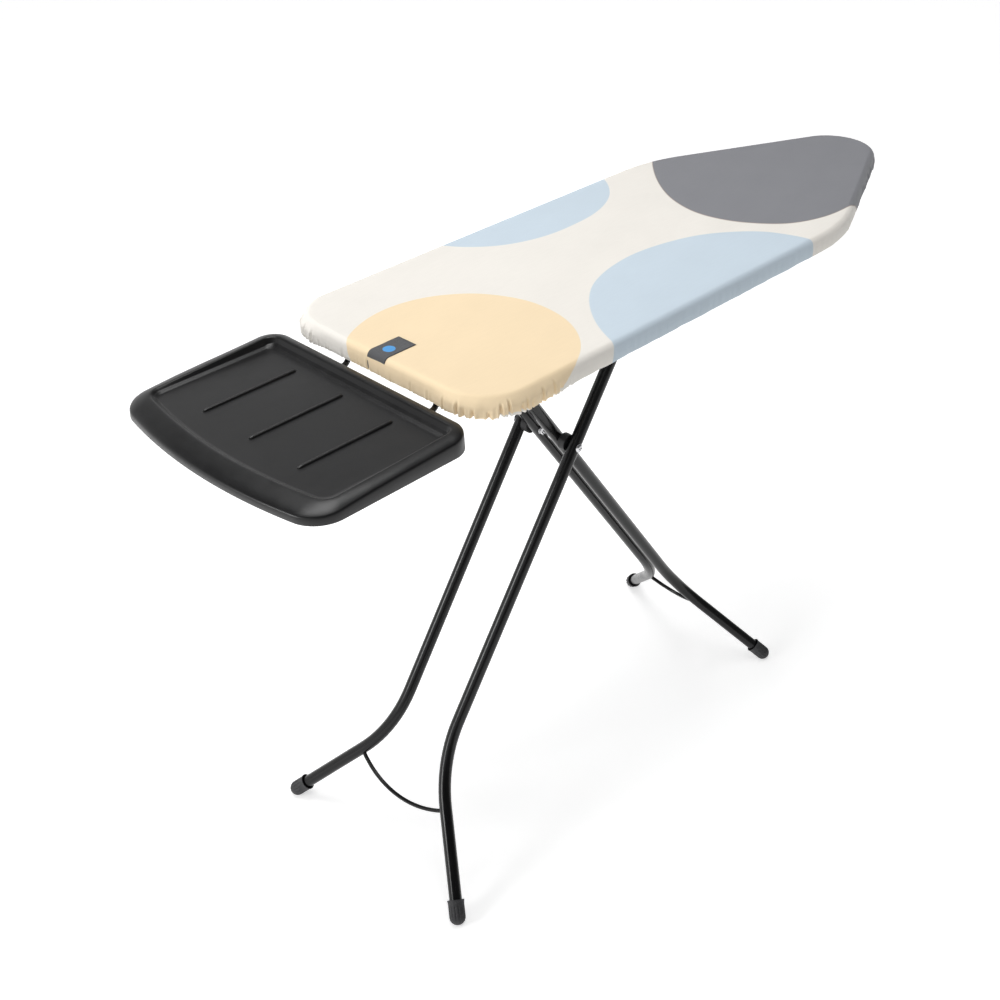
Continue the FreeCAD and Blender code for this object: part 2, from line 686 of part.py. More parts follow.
def make_hinge_sleeves():
    """Tube between the inner legs and a spacer outside each, all on the fixed axle."""
    bore = size("axle_radius") + size("running_fit")
    inside = size("inner_gauge") - size("leg_radius")
    middle = at(hinge_x, 0, axle_level)
    keep(ring("hinge_tube", bore, size("axle_radius") + size("clip_width"), 2 * inside,
              middle - Y_AXIS * inside, Y_AXIS), "hinge_tube")
    outside = size("inner_gauge") + size("leg_radius")
    sleeves = [ring(f"hinge_sleeve_{name}", bore, sleeve_radius, cheek_gauge - outside - size("side_play"),
                    middle + Y_AXIS * side * outside, Y_AXIS * side) for name, side in SIDES]
    keep(group("hinge_sleeves", sleeves), "hinge_sleeves")


def make_slider():
    """Axle through the tops of the outer legs with a round plastic glide on each end."""
    play = size("side_play")
    reach = size("rail_gauge") + size("rail_width") - size("rail_wall") - play
    middle = at(slider_x, 0, axle_level)
    keep(cylinder("slider_axle", "sizes.axle_radius", f"{2 * reach}", middle - Y_AXIS * reach, Y_AXIS),
         "slider_axle")
    radius = size("rail_height") / 2 - size("rail_wall") - play
    start = size("outer_gauge") + size("leg_radius") + play
    for name, side in SIDES:
        label = f"slider_glide_{name}"
        keep(ring(label, size("axle_radius"), radius, reach - start, middle + Y_AXIS * side * start,
                  Y_AXIS * side), label)


# ---------------------------------------------------------------- height latch and transport lock
def make_latch():
    """Torsion rod, two arms and a toothed bar that stands just under the slider axle."""
    gauge = size("latch_gauge")
    plate = size("latch_plate")
    arm = size("latch_rod") + 1.5
    past = 6
    rod_x = size("lever_place") - size("lever_width") / 2
    rod = cylinder("torsion_rod", "sizes.latch_rod", f"{latch_far + plate - rod_x}",
                   at(rod_x, -gauge, rod_level), X_AXIS)
    keep(rod, "torsion_rod")
    bar_top = axle_level - size("axle_radius") - size("side_play") * 2
    bar_low = bar_top - size("latch_depth")
    for label, x in (("latch_arm_back", latch_near - plate), ("latch_arm_nose", latch_far)):
        strip = block(label + "_strip", "sizes.latch_plate", f"{2 * gauge + plate / 2 + past}", f"{2 * arm}",
                      at(x, -gauge - past, rod_level - arm))
        leg = block(label + "_leg", "sizes.latch_plate", "sizes.latch_plate",
                    f"{rod_level - bar_low}", at(x, gauge - plate / 2, bar_low))
        hole = cylinder(label + "_hole", "sizes.latch_rod", "2 * sizes.latch_plate",
                        at(x - plate / 2, -gauge, rod_level), X_AXIS)
        keep(cut(label, fuse(label + "_shape", [strip, leg]), [hole]), label)
    bar = block("latch_bar_strip", f"{latch_far - latch_near}", "sizes.latch_plate", "sizes.latch_depth",
                at(latch_near, gauge - plate / 2, bar_low))
    notches = []
    x = slider_x
    while x < latch_far - size("axle_radius") * 2:
        notches.append(cylinder(f"latch_notch_{len(notches)}", "sizes.axle_radius + 1",
                                "2 * sizes.latch_plate", at(x, gauge - plate, bar_top), Y_AXIS))
        x += size("tooth_pitch")
    keep(cut("latch_bar", bar, notches), "latch_bar")


def make_lever():
    """Plastic release lever: a hub on the torsion rod and an arm out to the near edge."""
    gauge = size("latch_gauge")
    width = size("lever_width")
    hub = 2 * size("latch_rod")
    hub_top = rod_level + 3
    bend = 36
    x = size("lever_place") - width / 2
    reach = size("lever_reach")
    rise = (reach - gauge) * math.sin(math.radians(size("latch_travel")))
    tip_top = skirt_base - 2 * size("side_play") - rise
    tip_level = tip_top - size("lever_plate")
    body = new_body("release_lever_body", Placement(at(x, 0, 0), Rotation()))
    side = sketch_on(body, "YZ_Plane", "lever_side")
    points = [Vector(hub - gauge, rod_level - hub, 0), Vector(hub - gauge, hub_top, 0),
              Vector(-gauge - hub - 1, hub_top, 0), Vector(-gauge - hub - 1 - bend, tip_top, 0),
              Vector(-reach, tip_top, 0), Vector(-reach, tip_level - 3, 0),
              Vector(-reach + 2 * hub, tip_level, 0), Vector(-gauge - hub - 3 - bend, tip_level, 0)]
    side.addGeometry([line_between(a, b) for a, b in zip(points, points[1:] + points[:1])], False)
    pad(body, side, "lever_pad", "sizes.lever_width")
    hole = cylinder("release_lever_hole", "sizes.latch_rod", "2 * sizes.lever_width",
                    at(x - width / 2, -gauge, rod_level), X_AXIS)
    keep(cut("release_lever", body, [hole]), "release_lever")


def make_rod_clips():
    """Plastic bearings under the cross bars in which the torsion rod turns."""
    gauge = size("latch_gauge")
    rod = size("latch_rod")
    wall = size("bearing_wall")
    wide = size("bearing_width")
    half = rod + wall - size("side_play") / 2
    bar = size("bar_width")
    places = (hinge_x - size("hinge_margin"), rail_start + bar / 2, rail_end + bar)
    clips = []
    for index, x in enumerate(places):
        outer = block(f"rod_clip_{index}_block", "sizes.bearing_width", f"{2 * half}",
                      f"{bar_base - rod_level + rod + wall}",
                      at(x - wide / 2, -gauge - half, rod_level - rod - wall))
        hole = cylinder(f"rod_clip_{index}_hole", "sizes.latch_rod + sizes.running_fit",
                        "2 * sizes.bearing_width", at(x - wide, -gauge, rod_level), X_AXIS)
        clips.append(cut(f"rod_clip_{index}", outer, [hole]))
    keep(group("rod_clips", clips), "rod_clips")


def make_spring():
    """Coil spring on the torsion rod that presses the latch up against the slider axle."""
    wire = size("spring_wire")
    start = size("lever_place") + size("lever_width") / 2 + 4
    turns = []
    for index in range(int(size("spring_coils"))):
        coil = doc.addObject("Part::Torus", f"spring_coil_{index}")
        bind(coil, Radius1="sizes.latch_rod + 2 * sizes.spring_wire", Radius2="sizes.spring_wire")
        coil.Placement = Placement(at(start + index * wire * 2.2, -size("latch_gauge"), rod_level),
                                   Rotation(Z_AXIS, X_AXIS))
        turns.append(coil)
    keep(group("latch_spring", turns), "latch_spring")


def make_transport_lock():
    """Turn button between the inner legs; across them it holds the folded legs up."""
    place = at(size("lock_place"), 0, 0)
    length, width, height = size("lock_length"), size("lock_width"), size("lock_height")
    bar_level = axle_level - size("lock_drop")
    wide = size("lock_plate_width")
    plate = size("latch_plate")
    plate_base = bar_base - plate
    reach = size("lock_place") - hinge_x + 0.7 * wide
    bracket = block("lock_bracket", f"{reach}", "sizes.lock_plate_width", "sizes.latch_plate",
                    at(hinge_x, -wide / 2, plate_base))
    hole = cylinder("lock_bracket_hole", "sizes.lock_pin", "2 * sizes.latch_plate",
                    place + Z_AXIS * (plate_base - plate / 2), Z_AXIS)
    keep(cut("lock_plate", bracket, [hole]), "lock_plate")
    stem = cylinder("lock_stem", "sizes.lock_stem", f"{plate_base - bar_level - size('side_play')}",
                    place + Z_AXIS * bar_level, Z_AXIS)
    pin = cylinder("lock_pin", "sizes.lock_pin - sizes.running_fit", f"{plate_base + plate - bar_level}",
                   place + Z_AXIS * bar_level, Z_AXIS)
    bar = block("lock_bar", "sizes.lock_length", "sizes.lock_width", "sizes.lock_height",
                place + Vector(-length / 2, -width / 2, bar_level - height))
    keep(fuse("transport_lock", [stem, pin, bar]), "transport_lock")


# ---------------------------------------------------------------- rest for a steam unit
def rest_outline(back, front, half, back_corner, front_corner, front_radius):
    """Plan of the rest: straight back and sides, rounded corners and a bowed front edge."""
    centre = front_radius - front
    across = half - front_corner
    corner_x = centre - math.sqrt((front_radius - front_corner) ** 2 - across ** 2)
    turn = math.atan2(across, centre - corner_x)
    right = math.pi
    quarter = math.pi / 2
    return joined([
        arc_between(Vector(-back - back_corner, half - back_corner, 0), back_corner, 0, quarter),
        arc_between(Vector(corner_x, across, 0), front_corner, quarter, right - turn),
        arc_between(Vector(centre, 0, 0), front_radius, right - turn, right + turn),
        arc_between(Vector(corner_x, -across, 0), front_corner, right + turn, 3 * quarter),
        arc_between(Vector(-back - back_corner, back_corner - half, 0), back_corner, 3 * quarter,
                    4 * quarter),
    ])


def rest_slab(name, outline, base, height):
    """An outline raised from a level by a height."""
    body = new_body(name, Placement(at(0, 0, base), Rotation()))
    plan = sketch_on(body, "XY_Plane", name + "_plan")
    plan.addGeometry(outline, False)
    pad(body, plan, name + "_pad", f"{height}")
    return body


def rest_side(name, lower, extra):
    """The side view of the rest, raised rim at the back and a sloping front lip, across its width."""
    front = -size("tray_reach") - extra
    back = -size("tray_gap") + extra
    rim = size("tray_rim") - lower
    base = size("tray_base") - extra
    lip = size("tray_floor") + 5 - lower
    body = new_body(name, Placement(at(0, 0, 0), Rotation()))
    side = sketch_on(body, "XZ_Plane", name + "_side")
    points = [Vector(back, base, 0), Vector(back, rim - 5, 0), Vector(back - 5 - extra, rim, 0),
              Vector(back - 30 - extra, rim, 0), Vector(front + size("tray_lip") + 4 + extra, lip, 0),
              Vector(front + 8 + extra, lip - 13, 0), Vector(front, lip - 16, 0), Vector(front, base, 0)]
    side.addGeometry([line_between(a, b) for a, b in zip(points, points[1:] + points[:1])], False)
    item = pad(body, side, name + "_pad", "sizes.tray_width + 20")
    item.Midplane = True
    return body


def make_rest():
    """Moulded rest: thin walled, with a sunk floor, three ribs and a lip that slopes to the front."""
    wall = size("tray_wall")
    half = size("tray_width") / 2
    back, front = size("tray_gap"), size("tray_reach")
    base, floor, rim = size("tray_base"), size("tray_floor"), size("tray_rim")
    corner, nose_corner, bow = size("tray_back_corner"), size("tray_front_corner"), size("tray_bow")
    slope = size("recess_slope")
    deck_back, deck_front, deck_half = back + 7 * wall, front - size("tray_lip"), half - size("tray_side")
    high = rim - base + 10
    outside = rest_outline(back, front, half, corner, nose_corner, bow)
    outer = common("rest_outer", rest_slab("rest_plan", outside, base, high), rest_side("rest_profile", 0, 0))
    inside = rest_outline(back + wall, front - wall, half - wall, corner - wall, nose_corner - wall, bow)
    under = common("rest_under", rest_slab("rest_under_plan", inside, base - 1, high),
                   rest_side("rest_under_profile", wall, 1))
    deck = rest_slab("rest_deck", rest_outline(deck_back, deck_front, deck_half, 30, 48, size("recess_bow")),
                     floor - wall, rim)
    recess = rest_outline(deck_back + slope, deck_front - slope, deck_half - slope + 1, 30 - slope + 2,
                          48 - slope + 2, size("recess_bow"))
    sink = rest_slab("rest_sink", recess, floor, rim)
    shell = cut("rest_shell", outer, [cut("rest_hollow", under, [deck]), sink])
    rounding, start, end = size("rib_radius"), size("rib_start"), size("rib_end")
    ribs = []
    for index in range(3):
        y = (index - 1) * size("rib_gauge")
        rib = cylinder(f"rest_rib_{index}", "sizes.rib_radius", "sizes.rib_end - sizes.rib_start",
                       at(-end, y, floor + size("rest_rib") - rounding), X_AXIS)
        above = block(f"rest_rib_{index}_above", "sizes.rib_end", "4 * sizes.rib_radius",
                      "4 * sizes.rib_radius", at(-end - start / 8, y - 2 * rounding, floor - wall / 2))
        ribs.append(common(f"rest_rib_{index}_top", rib, above))
    keep(fuse("steam_unit_rest", [shell] + ribs), "steam_unit_rest")


def rest_rod(name, place):
    """A rod from under the rest: level, then climbing under the board's end, then level again."""
    body = new_body(name + "_body", Placement(place, Rotation()))
    spine = sketch_on(body, "XZ_Plane", name + "_route")
    climb = math.radians(size("rod_climb"))
    radius = size("rod_bend")
    tangent = radius * math.tan(climb / 2)
    first = size("rod_front") + size("rod_knee") - tangent
    run = size("rod_rise") / math.sin(climb) - 2 * tangent
    heading = Vector(math.cos(climb), math.sin(climb), 0)
    quarter = math.pi / 2
    lower = arc_between(Vector(first, radius, 0), radius, -quarter, climb - quarter)
    upper_start = lower.EndPoint + heading * run
    middle = upper_start + Vector(heading.y, -heading.x, 0) * radius
    upper = arc_between(middle, radius, quarter, quarter + climb)
    last = Vector(size("rod_front") + rod_end, size("rod_rise"), 0)
    spine.addGeometry([line_between(Vector(), lower.StartPoint), lower,
                       line_between(lower.EndPoint, upper_start), upper,
                       line_between(upper.StartPoint, last)], False)
    section = sketch_on(body, "YZ_Plane", name + "_section")
    add_circle(section, "sizes.rest_rod")
    pipe(body, section, spine, name + "_pipe")
    return body


def rod_block(name, x, y, length, top, level):
    """A block under the board or the rest, bored for a rod that runs at a level."""
    width, low = size("clamp_width"), level - size("rest_rod") - size("clamp_wall")
    outer = block(name + "_block", f"{length}", "sizes.clamp_width", f"{top - low}",
                  at(x - length / 2, y - width / 2, low))
    hole = cylinder(name + "_hole", "sizes.rest_rod", f"{2 * length}", at(x - length, y, level), X_AXIS)
    return cut(name, outer, [hole])


def make_rest_rods():
    """Two steel rods that carry the rest, each in two clamps under it and a hanger under the board."""
    back_level = rest_rod_level + size("rod_rise")
    under_floor = size("tray_floor") - size("tray_wall")
    length = size("clamp_length")
    clamps = []
    for name, side in SIDES:
        y = side * size("rod_gauge")
        keep(rest_rod(f"rest_rod_{name}", at(-size("rod_front"), y, rest_rod_level)), f"rest_rod_{name}")
        label = f"rod_hanger_{name}"
        keep(rod_block(label, bar_back_x, y, 0.8 * length, bar_base, back_level), label)
        for index, x in enumerate((-3 * size("tray_gap"), 1.5 * length - size("rod_front"))):
            clamps.append(rod_block(f"rest_clamp_{name}_{index}", x, y, length, under_floor, rest_rod_level))
    keep(group("rest_clamps", clamps), "rest_clamps")


def make_label():
    """Woven ribbon sewn over the cover's edge at the square end, flush with the cloth."""
    low_y = -size("label_place")
    drop = size("cover_skirt") - 6
    thick = size("label_thickness")
    top = block("cover_label_top", "sizes.label_length", "sizes.label_width", "sizes.label_thickness",
                at(0, low_y, cover_top - thick))
    fall = block("cover_label_fall", "sizes.label_thickness", "sizes.label_width", f"{drop}",
                 at(0, low_y, cover_top - drop))
    return keep(fuse("cover_label", [top, fall]), "cover_label")


# ---------------------------------------------------------------- the whole board
make_cover(make_label())
make_layers()
make_metal_top()
make_rim()
make_drawcord()
make_cross_bars()
make_hinge()
make_rails()
make_legs()
make_scissor_bolts()
make_hinge_sleeves()
make_slider()
make_latch()
make_lever()
make_rod_clips()
make_spring()
make_transport_lock()
make_rest()
make_rest_rods()

# ---------------------------------------------------------------- test and export
doc.recompute()
for item in doc.Objects:
    if "Invalid" in item.State or "Error" in item.State:
        raise RuntimeError(f"{item.Label} did not recompute: {item.State}")
os.makedirs("parts", exist_ok=True)
for item in subparts:
    if item.Shape.isNull() or not item.Shape.isValid() or not item.Shape.Solids:
        raise RuntimeError(f"{item.Label} has no valid solid")
for item in subparts:
    item.Shape.exportStep(f"parts/{item.Label}.step")
    print(f"{item.Label:24s} {len(item.Shape.Solids)} solid(s) {item.Shape.Volume / 1000:10.2f} cm3")
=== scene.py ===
import json
import math
import random

import bmesh
import bpy
from mathutils import Matrix, Vector


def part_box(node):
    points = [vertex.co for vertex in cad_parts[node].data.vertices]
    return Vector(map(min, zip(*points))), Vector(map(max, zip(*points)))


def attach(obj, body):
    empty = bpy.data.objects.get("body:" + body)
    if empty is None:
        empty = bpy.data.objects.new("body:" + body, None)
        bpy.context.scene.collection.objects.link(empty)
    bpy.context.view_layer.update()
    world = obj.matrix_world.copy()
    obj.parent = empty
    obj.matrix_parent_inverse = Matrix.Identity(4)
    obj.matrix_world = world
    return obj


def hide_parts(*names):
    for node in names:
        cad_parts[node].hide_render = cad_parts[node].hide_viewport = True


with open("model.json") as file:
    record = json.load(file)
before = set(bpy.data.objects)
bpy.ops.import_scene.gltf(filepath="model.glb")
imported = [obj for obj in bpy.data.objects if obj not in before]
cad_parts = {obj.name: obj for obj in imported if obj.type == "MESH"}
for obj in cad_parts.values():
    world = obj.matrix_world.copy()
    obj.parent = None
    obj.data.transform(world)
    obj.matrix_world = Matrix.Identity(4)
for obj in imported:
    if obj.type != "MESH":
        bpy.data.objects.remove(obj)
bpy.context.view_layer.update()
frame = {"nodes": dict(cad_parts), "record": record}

# Ironing board: metres, +Z up, +X from the steam-unit rest to the nose. Soft and moulded pieces are
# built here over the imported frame; tubes, rods and brackets keep their CAD shape and get a finish.

METRES_PER_MM = 0.001


def mm(value):
    """Millimetres to metres."""
    return value * METRES_PER_MM


# ---------------------------------------------------------------- places from the frame
cover_low, cover_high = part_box("cover")
rest_low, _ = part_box("steam_unit_rest")
label_low, label_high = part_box("cover_label")
SQUARE_END = cover_low.x
BOARD_LENGTH = cover_high.x - cover_low.x
HALF_WIDTH = cover_high.y
COVER_TOP = cover_high.z
SKIRT_BASE = cover_low.z

CORNER_RADIUS = mm(80)
STRAIGHT_END = mm(796)
SHOULDER_RADIUS = mm(305)
NOSE_RADIUS = mm(82)
TAPER_RUN = mm(280)

# Ends of the middle line that the rings of the top and of the pads shrink to.
SPINE_FROM, SPINE_TO = SQUARE_END + mm(200), SQUARE_END + mm(1060)


# ---------------------------------------------------------------- outlines
def arc_points(cx, cy, radius, start, end, count):
    """Points on an arc, with the outward normal at each."""
    out = []
    for step in range(count):
        angle = start + (end - start) * step / count
        normal = (math.cos(angle), math.sin(angle))
        out.append((cx + radius * normal[0], cy + radius * normal[1], normal[0], normal[1]))
    return out


def line_points(a, b, normal, count):
    """Points on a straight run, with its outward normal."""
    return [(a[0] + (b[0] - a[0]) * step / count, a[1] + (b[1] - a[1]) * step / count, *normal)
            for step in range(count)]


def outline(arcs, counts):
    """A closed outline of tangent arcs joined by straight runs, as points with outward normals.
    counts gives the points on each arc and on the run after it."""
    out = []
    for index, (cx, cy, radius, start, end) in enumerate(arcs):
        on_arc, on_run = counts[index]
        out += arc_points(cx, cy, radius, start, end, on_arc)
        nx, ny, nr, ns, _ = arcs[(index + 1) % len(arcs)]
        a = (cx + radius * math.cos(end), cy + radius * math.sin(end))
        b = (nx + nr * math.cos(ns), ny + nr * math.sin(ns))
        out += line_points(a, b, (math.cos(end), math.sin(end)), on_run)
    return out


def board_outline(inset=0.0, spacing=mm(3)):
    """The board's plan, square end at SQUARE_END, moved inwards by inset, anticlockwise."""
    shoulder_y = HALF_WIDTH - SHOULDER_RADIUS
    along = STRAIGHT_END - (BOARD_LENGTH - NOSE_RADIUS)
    reach = math.hypot(along, shoulder_y)
    taper = math.atan2(along, shoulder_y) + math.acos((NOSE_RADIUS - SHOULDER_RADIUS) / reach)
    quarter = math.pi / 2
    x = SQUARE_END
    corner_y = HALF_WIDTH - CORNER_RADIUS
    nose_x = x + BOARD_LENGTH - NOSE_RADIUS
    arcs = [
        (x + CORNER_RADIUS, corner_y, CORNER_RADIUS - inset, quarter, 2 * quarter),
        (x + CORNER_RADIUS, -corner_y, CORNER_RADIUS - inset, 2 * quarter, 3 * quarter),
        (x + STRAIGHT_END, -shoulder_y, SHOULDER_RADIUS - inset, 3 * quarter, 3 * quarter + taper),
        (nose_x, 0, NOSE_RADIUS - inset, taper - quarter, quarter - taper),
        (x + STRAIGHT_END, shoulder_y, SHOULDER_RADIUS - inset, quarter - taper, quarter),
    ]
    lengths = [
        (CORNER_RADIUS * quarter, 2 * corner_y),
        (CORNER_RADIUS * quarter, STRAIGHT_END - CORNER_RADIUS),
        (SHOULDER_RADIUS * taper, TAPER_RUN),
        (NOSE_RADIUS * 2 * (quarter - taper), TAPER_RUN),
        (SHOULDER_RADIUS * taper, STRAIGHT_END - CORNER_RADIUS),
    ]
    counts = [(max(6, round(a / spacing)), max(6, round(b / spacing))) for a, b in lengths]
    return outline(arcs, counts)


def rest_outline(back, front, half, back_corner, front_corner, front_radius):
    """Plan of the steam-unit rest: straight back and sides, rounded corners, bowed front.
    back and front are distances from the board's square end."""
    centre = front_radius - front
    corner_y = half - front_corner
    corner_x = centre - math.sqrt((front_radius - front_corner) ** 2 - corner_y ** 2)
    turn = math.atan2(corner_y, centre - corner_x)
    quarter = math.pi / 2
    x = SQUARE_END
    arcs = [
        (x - back - back_corner, half - back_corner, back_corner, 0, quarter),
        (x + corner_x, corner_y, front_corner, quarter, 2 * quarter - turn),
        (x + centre, 0, front_radius, 2 * quarter - turn, 2 * quarter + turn),
        (x + corner_x, -corner_y, front_corner, 2 * quarter + turn, 3 * quarter),
        (x - back - back_corner, back_corner - half, back_corner, 3 * quarter, 4 * quarter),
    ]
    counts = [(16, 60), (24, 1), (90, 1), (24, 60), (16, 90)]
    return outline(arcs, counts)


# ---------------------------------------------------------------- mesh helpers
def new_mesh(name, vertices, faces, smooth=True):
    """A mesh object from plain lists."""
    data = bpy.data.meshes.new(name)
    data.from_pydata([tuple(v) for v in vertices], [], faces)
    data.validate()
    data.polygons.foreach_set("use_smooth", [smooth] * len(data.polygons))
    item = bpy.data.objects.new(name, data)
    bpy.context.scene.collection.objects.link(item)
    return item


def ring_faces(rings, count, start=0):
    """Quads between successive rings of the same number of vertices."""
    faces = []
    for ring in range(rings - 1):
        a = start + ring * count
        b = a + count
        for index in range(count):
            following = (index + 1) % count
            faces.append((a + index, a + following, b + following, b + index))
    return faces


def weld(item, distance):
    """Merges vertices closer than a distance and turns all faces outwards."""
    work = bmesh.new()
    work.from_mesh(item.data)
    bmesh.ops.remove_doubles(work, verts=work.verts, dist=distance)
    bmesh.ops.recalc_face_normals(work, faces=work.faces)
    work.to_mesh(item.data)
    work.free()


def waves(seed, terms, length, low, high):
    """A smooth closed wave along a length: a sum of sines with wavelengths from low to high."""
    draw = random.Random(seed)
    parts = []
    for _ in range(terms):
        cycles = max(1, round(length / draw.uniform(low, high)))
        parts.append((cycles * 2 * math.pi / length, draw.uniform(0, 2 * math.pi), draw.uniform(0.5, 1.0)))
    scale = 1 / math.sqrt(sum(a * a for _, _, a in parts) / 2)

    def wave(s):
        return scale * sum(a * math.sin(k * s + p) for k, p, a in parts) / 2
    return wave


def smooth_step(low, high, value):
    """0 below low, 1 above high, smooth between."""
    t = min(1.0, max(0.0, (value - low) / (high - low)))
    return t * t * (3 - 2 * t)


# ---------------------------------------------------------------- node materials
class Nodes:
    """A node material with its Principled shader, and short ways to add nodes to it."""

    def __init__(self, name):
        self.material = bpy.data.materials.new(name)
        self.material.use_nodes = True
        self.tree = self.material.node_tree
        self.tree.nodes.clear()
        self.shader = self.add("ShaderNodeBsdfPrincipled")
        output = self.add("ShaderNodeOutputMaterial")
        self.link(self.shader.outputs["BSDF"], output.inputs["Surface"])
        self.coordinates = self.add("ShaderNodeTexCoord").outputs["Object"]

    def add(self, kind, **settings):
        node = self.tree.nodes.new(kind)
        for key, value in settings.items():
            setattr(node, key, value)
        return node

    def link(self, source, target):
        self.tree.links.new(source, target)

    def put(self, value, socket):
        """A value or another node's output into a socket."""
        if isinstance(value, bpy.types.NodeSocket):
            self.link(value, socket)
        else:
            socket.default_value = value

    def math(self, operation, a, b=0.0, c=0.0):
        node = self.add("ShaderNodeMath", operation=operation)
        for value, socket in zip((a, b, c), node.inputs):
            self.put(value, socket)
        return node.outputs[0]

    def split(self, vector):
        node = self.add("ShaderNodeSeparateXYZ")
        self.link(vector, node.inputs[0])
        return node.outputs

    def noise(self, scale, detail=3.0, roughness=0.5, vector=None, stretch=None):
        node = self.add("ShaderNodeTexNoise")
        place = vector or self.coordinates
        if stretch:
            mapping = self.add("ShaderNodeMapping")
            mapping.inputs["Scale"].default_value = stretch
            self.link(place, mapping.inputs["Vector"])
            place = mapping.outputs["Vector"]
        self.link(place, node.inputs["Vector"])
        node.inputs["Scale"].default_value = scale
        node.inputs["Detail"].default_value = detail
        node.inputs["Roughness"].default_value = roughness
        return node.outputs["Fac"]

    def ramp(self, value, low, high, to_low=0.0, to_high=1.0):
        node = self.add("ShaderNodeMapRange")
        for number, socket in zip((value, low, high, to_low, to_high), node.inputs):
            self.put(number, socket)
        return node.outputs[0]

    def mix(self, factor, a, b, blend="MIX"):
        """Two colours mixed; a Mix node's colour sockets come after its number and vector ones."""
        node = self.add("ShaderNodeMix", data_type="RGBA", blend_type=blend)
        self.put(factor, node.inputs[0])
        self.put(a, node.inputs[6])
        self.put(b, node.inputs[7])
        return node.outputs[2]

    def gray(self, value):
        """A number as a grey colour."""
        node = self.add("ShaderNodeCombineColor")
        for socket in node.inputs:
            self.link(value, socket)
        return node.outputs[0]

    def bump(self, height, distance, strength=1.0, normal=None):
        node = self.add("ShaderNodeBump")
        node.inputs["Strength"].default_value = strength
        node.inputs["Distance"].default_value = distance
        self.link(height, node.inputs["Height"])
        if normal:
            self.link(normal, node.inputs["Normal"])
        return node.outputs["Normal"]

    def finish(self, color=None, roughness=None, normal=None, **constants):
        for value, name in ((color, "Base Color"), (roughness, "Roughness"), (normal, "Normal")):
            if value is not None:
                self.put(value, self.shader.inputs[name])
        for name, value in constants.items():
            self.shader.inputs[name.replace("_", " ")].default_value = value
        return self.material


def rgb(red, green, blue):
    """An 8-bit screen colour as the linear colour a shader takes."""
    def linear(value):
        value /= 255
        return value / 12.92 if value <= 0.04045 else ((value + 0.055) / 1.055) ** 2.4
    return (linear(red), linear(green), linear(blue), 1.0)


CREAM = rgb(231, 227, 220)
YELLOW = rgb(238, 216, 180)
BLUE = rgb(195, 209, 220)
GREY = rgb(126, 127, 132)
SEAM = rgb(150, 118, 104)
FLECK = rgb(150, 120, 84)
DOT_BLUE = rgb(66, 148, 212)

THREAD = mm(0.6)
INK_BLEED = mm(0.6)
RIBBON_THREAD = mm(0.45)
SELVAGE = mm(1.6)
DOT_PLACE, DOT_RADIUS = mm(26), mm(9.8)
SOFT_EDGE = mm(0.4)

# Printed shapes: centre from the square end and the middle line, half sizes, turn and squareness.
PRINT_SHAPES = [
    (YELLOW, (106, -66), (174, 174), 0.0, 2.0),
    (BLUE, (532, 353), (231, 237), 0.028, 2.35),
    (BLUE, (506, -286), (274, 247), 0.511, 1.81),
    (GREY, (1213, 166), (532, 235), 0.52, 2.38),
]


def printed_shape(nodes, x, y, middle, halves, turn, power):
    """A printed superellipse's measure: under 1 inside it, over 1 outside."""
    dx = nodes.math("SUBTRACT", x, SQUARE_END + mm(middle[0]))
    dy = nodes.math("SUBTRACT", y, mm(middle[1]))
    c, s = math.cos(turn), math.sin(turn)
    a, b = mm(halves[0]), mm(halves[1])
    u = nodes.math("MULTIPLY_ADD", dx, c / a, nodes.math("MULTIPLY", dy, s / a))
    v = nodes.math("MULTIPLY_ADD", dx, -s / b, nodes.math("MULTIPLY", dy, c / b))
    return nodes.math("ADD", nodes.math("POWER", nodes.math("ABSOLUTE", u), power),
                      nodes.math("POWER", nodes.math("ABSOLUTE", v), power))


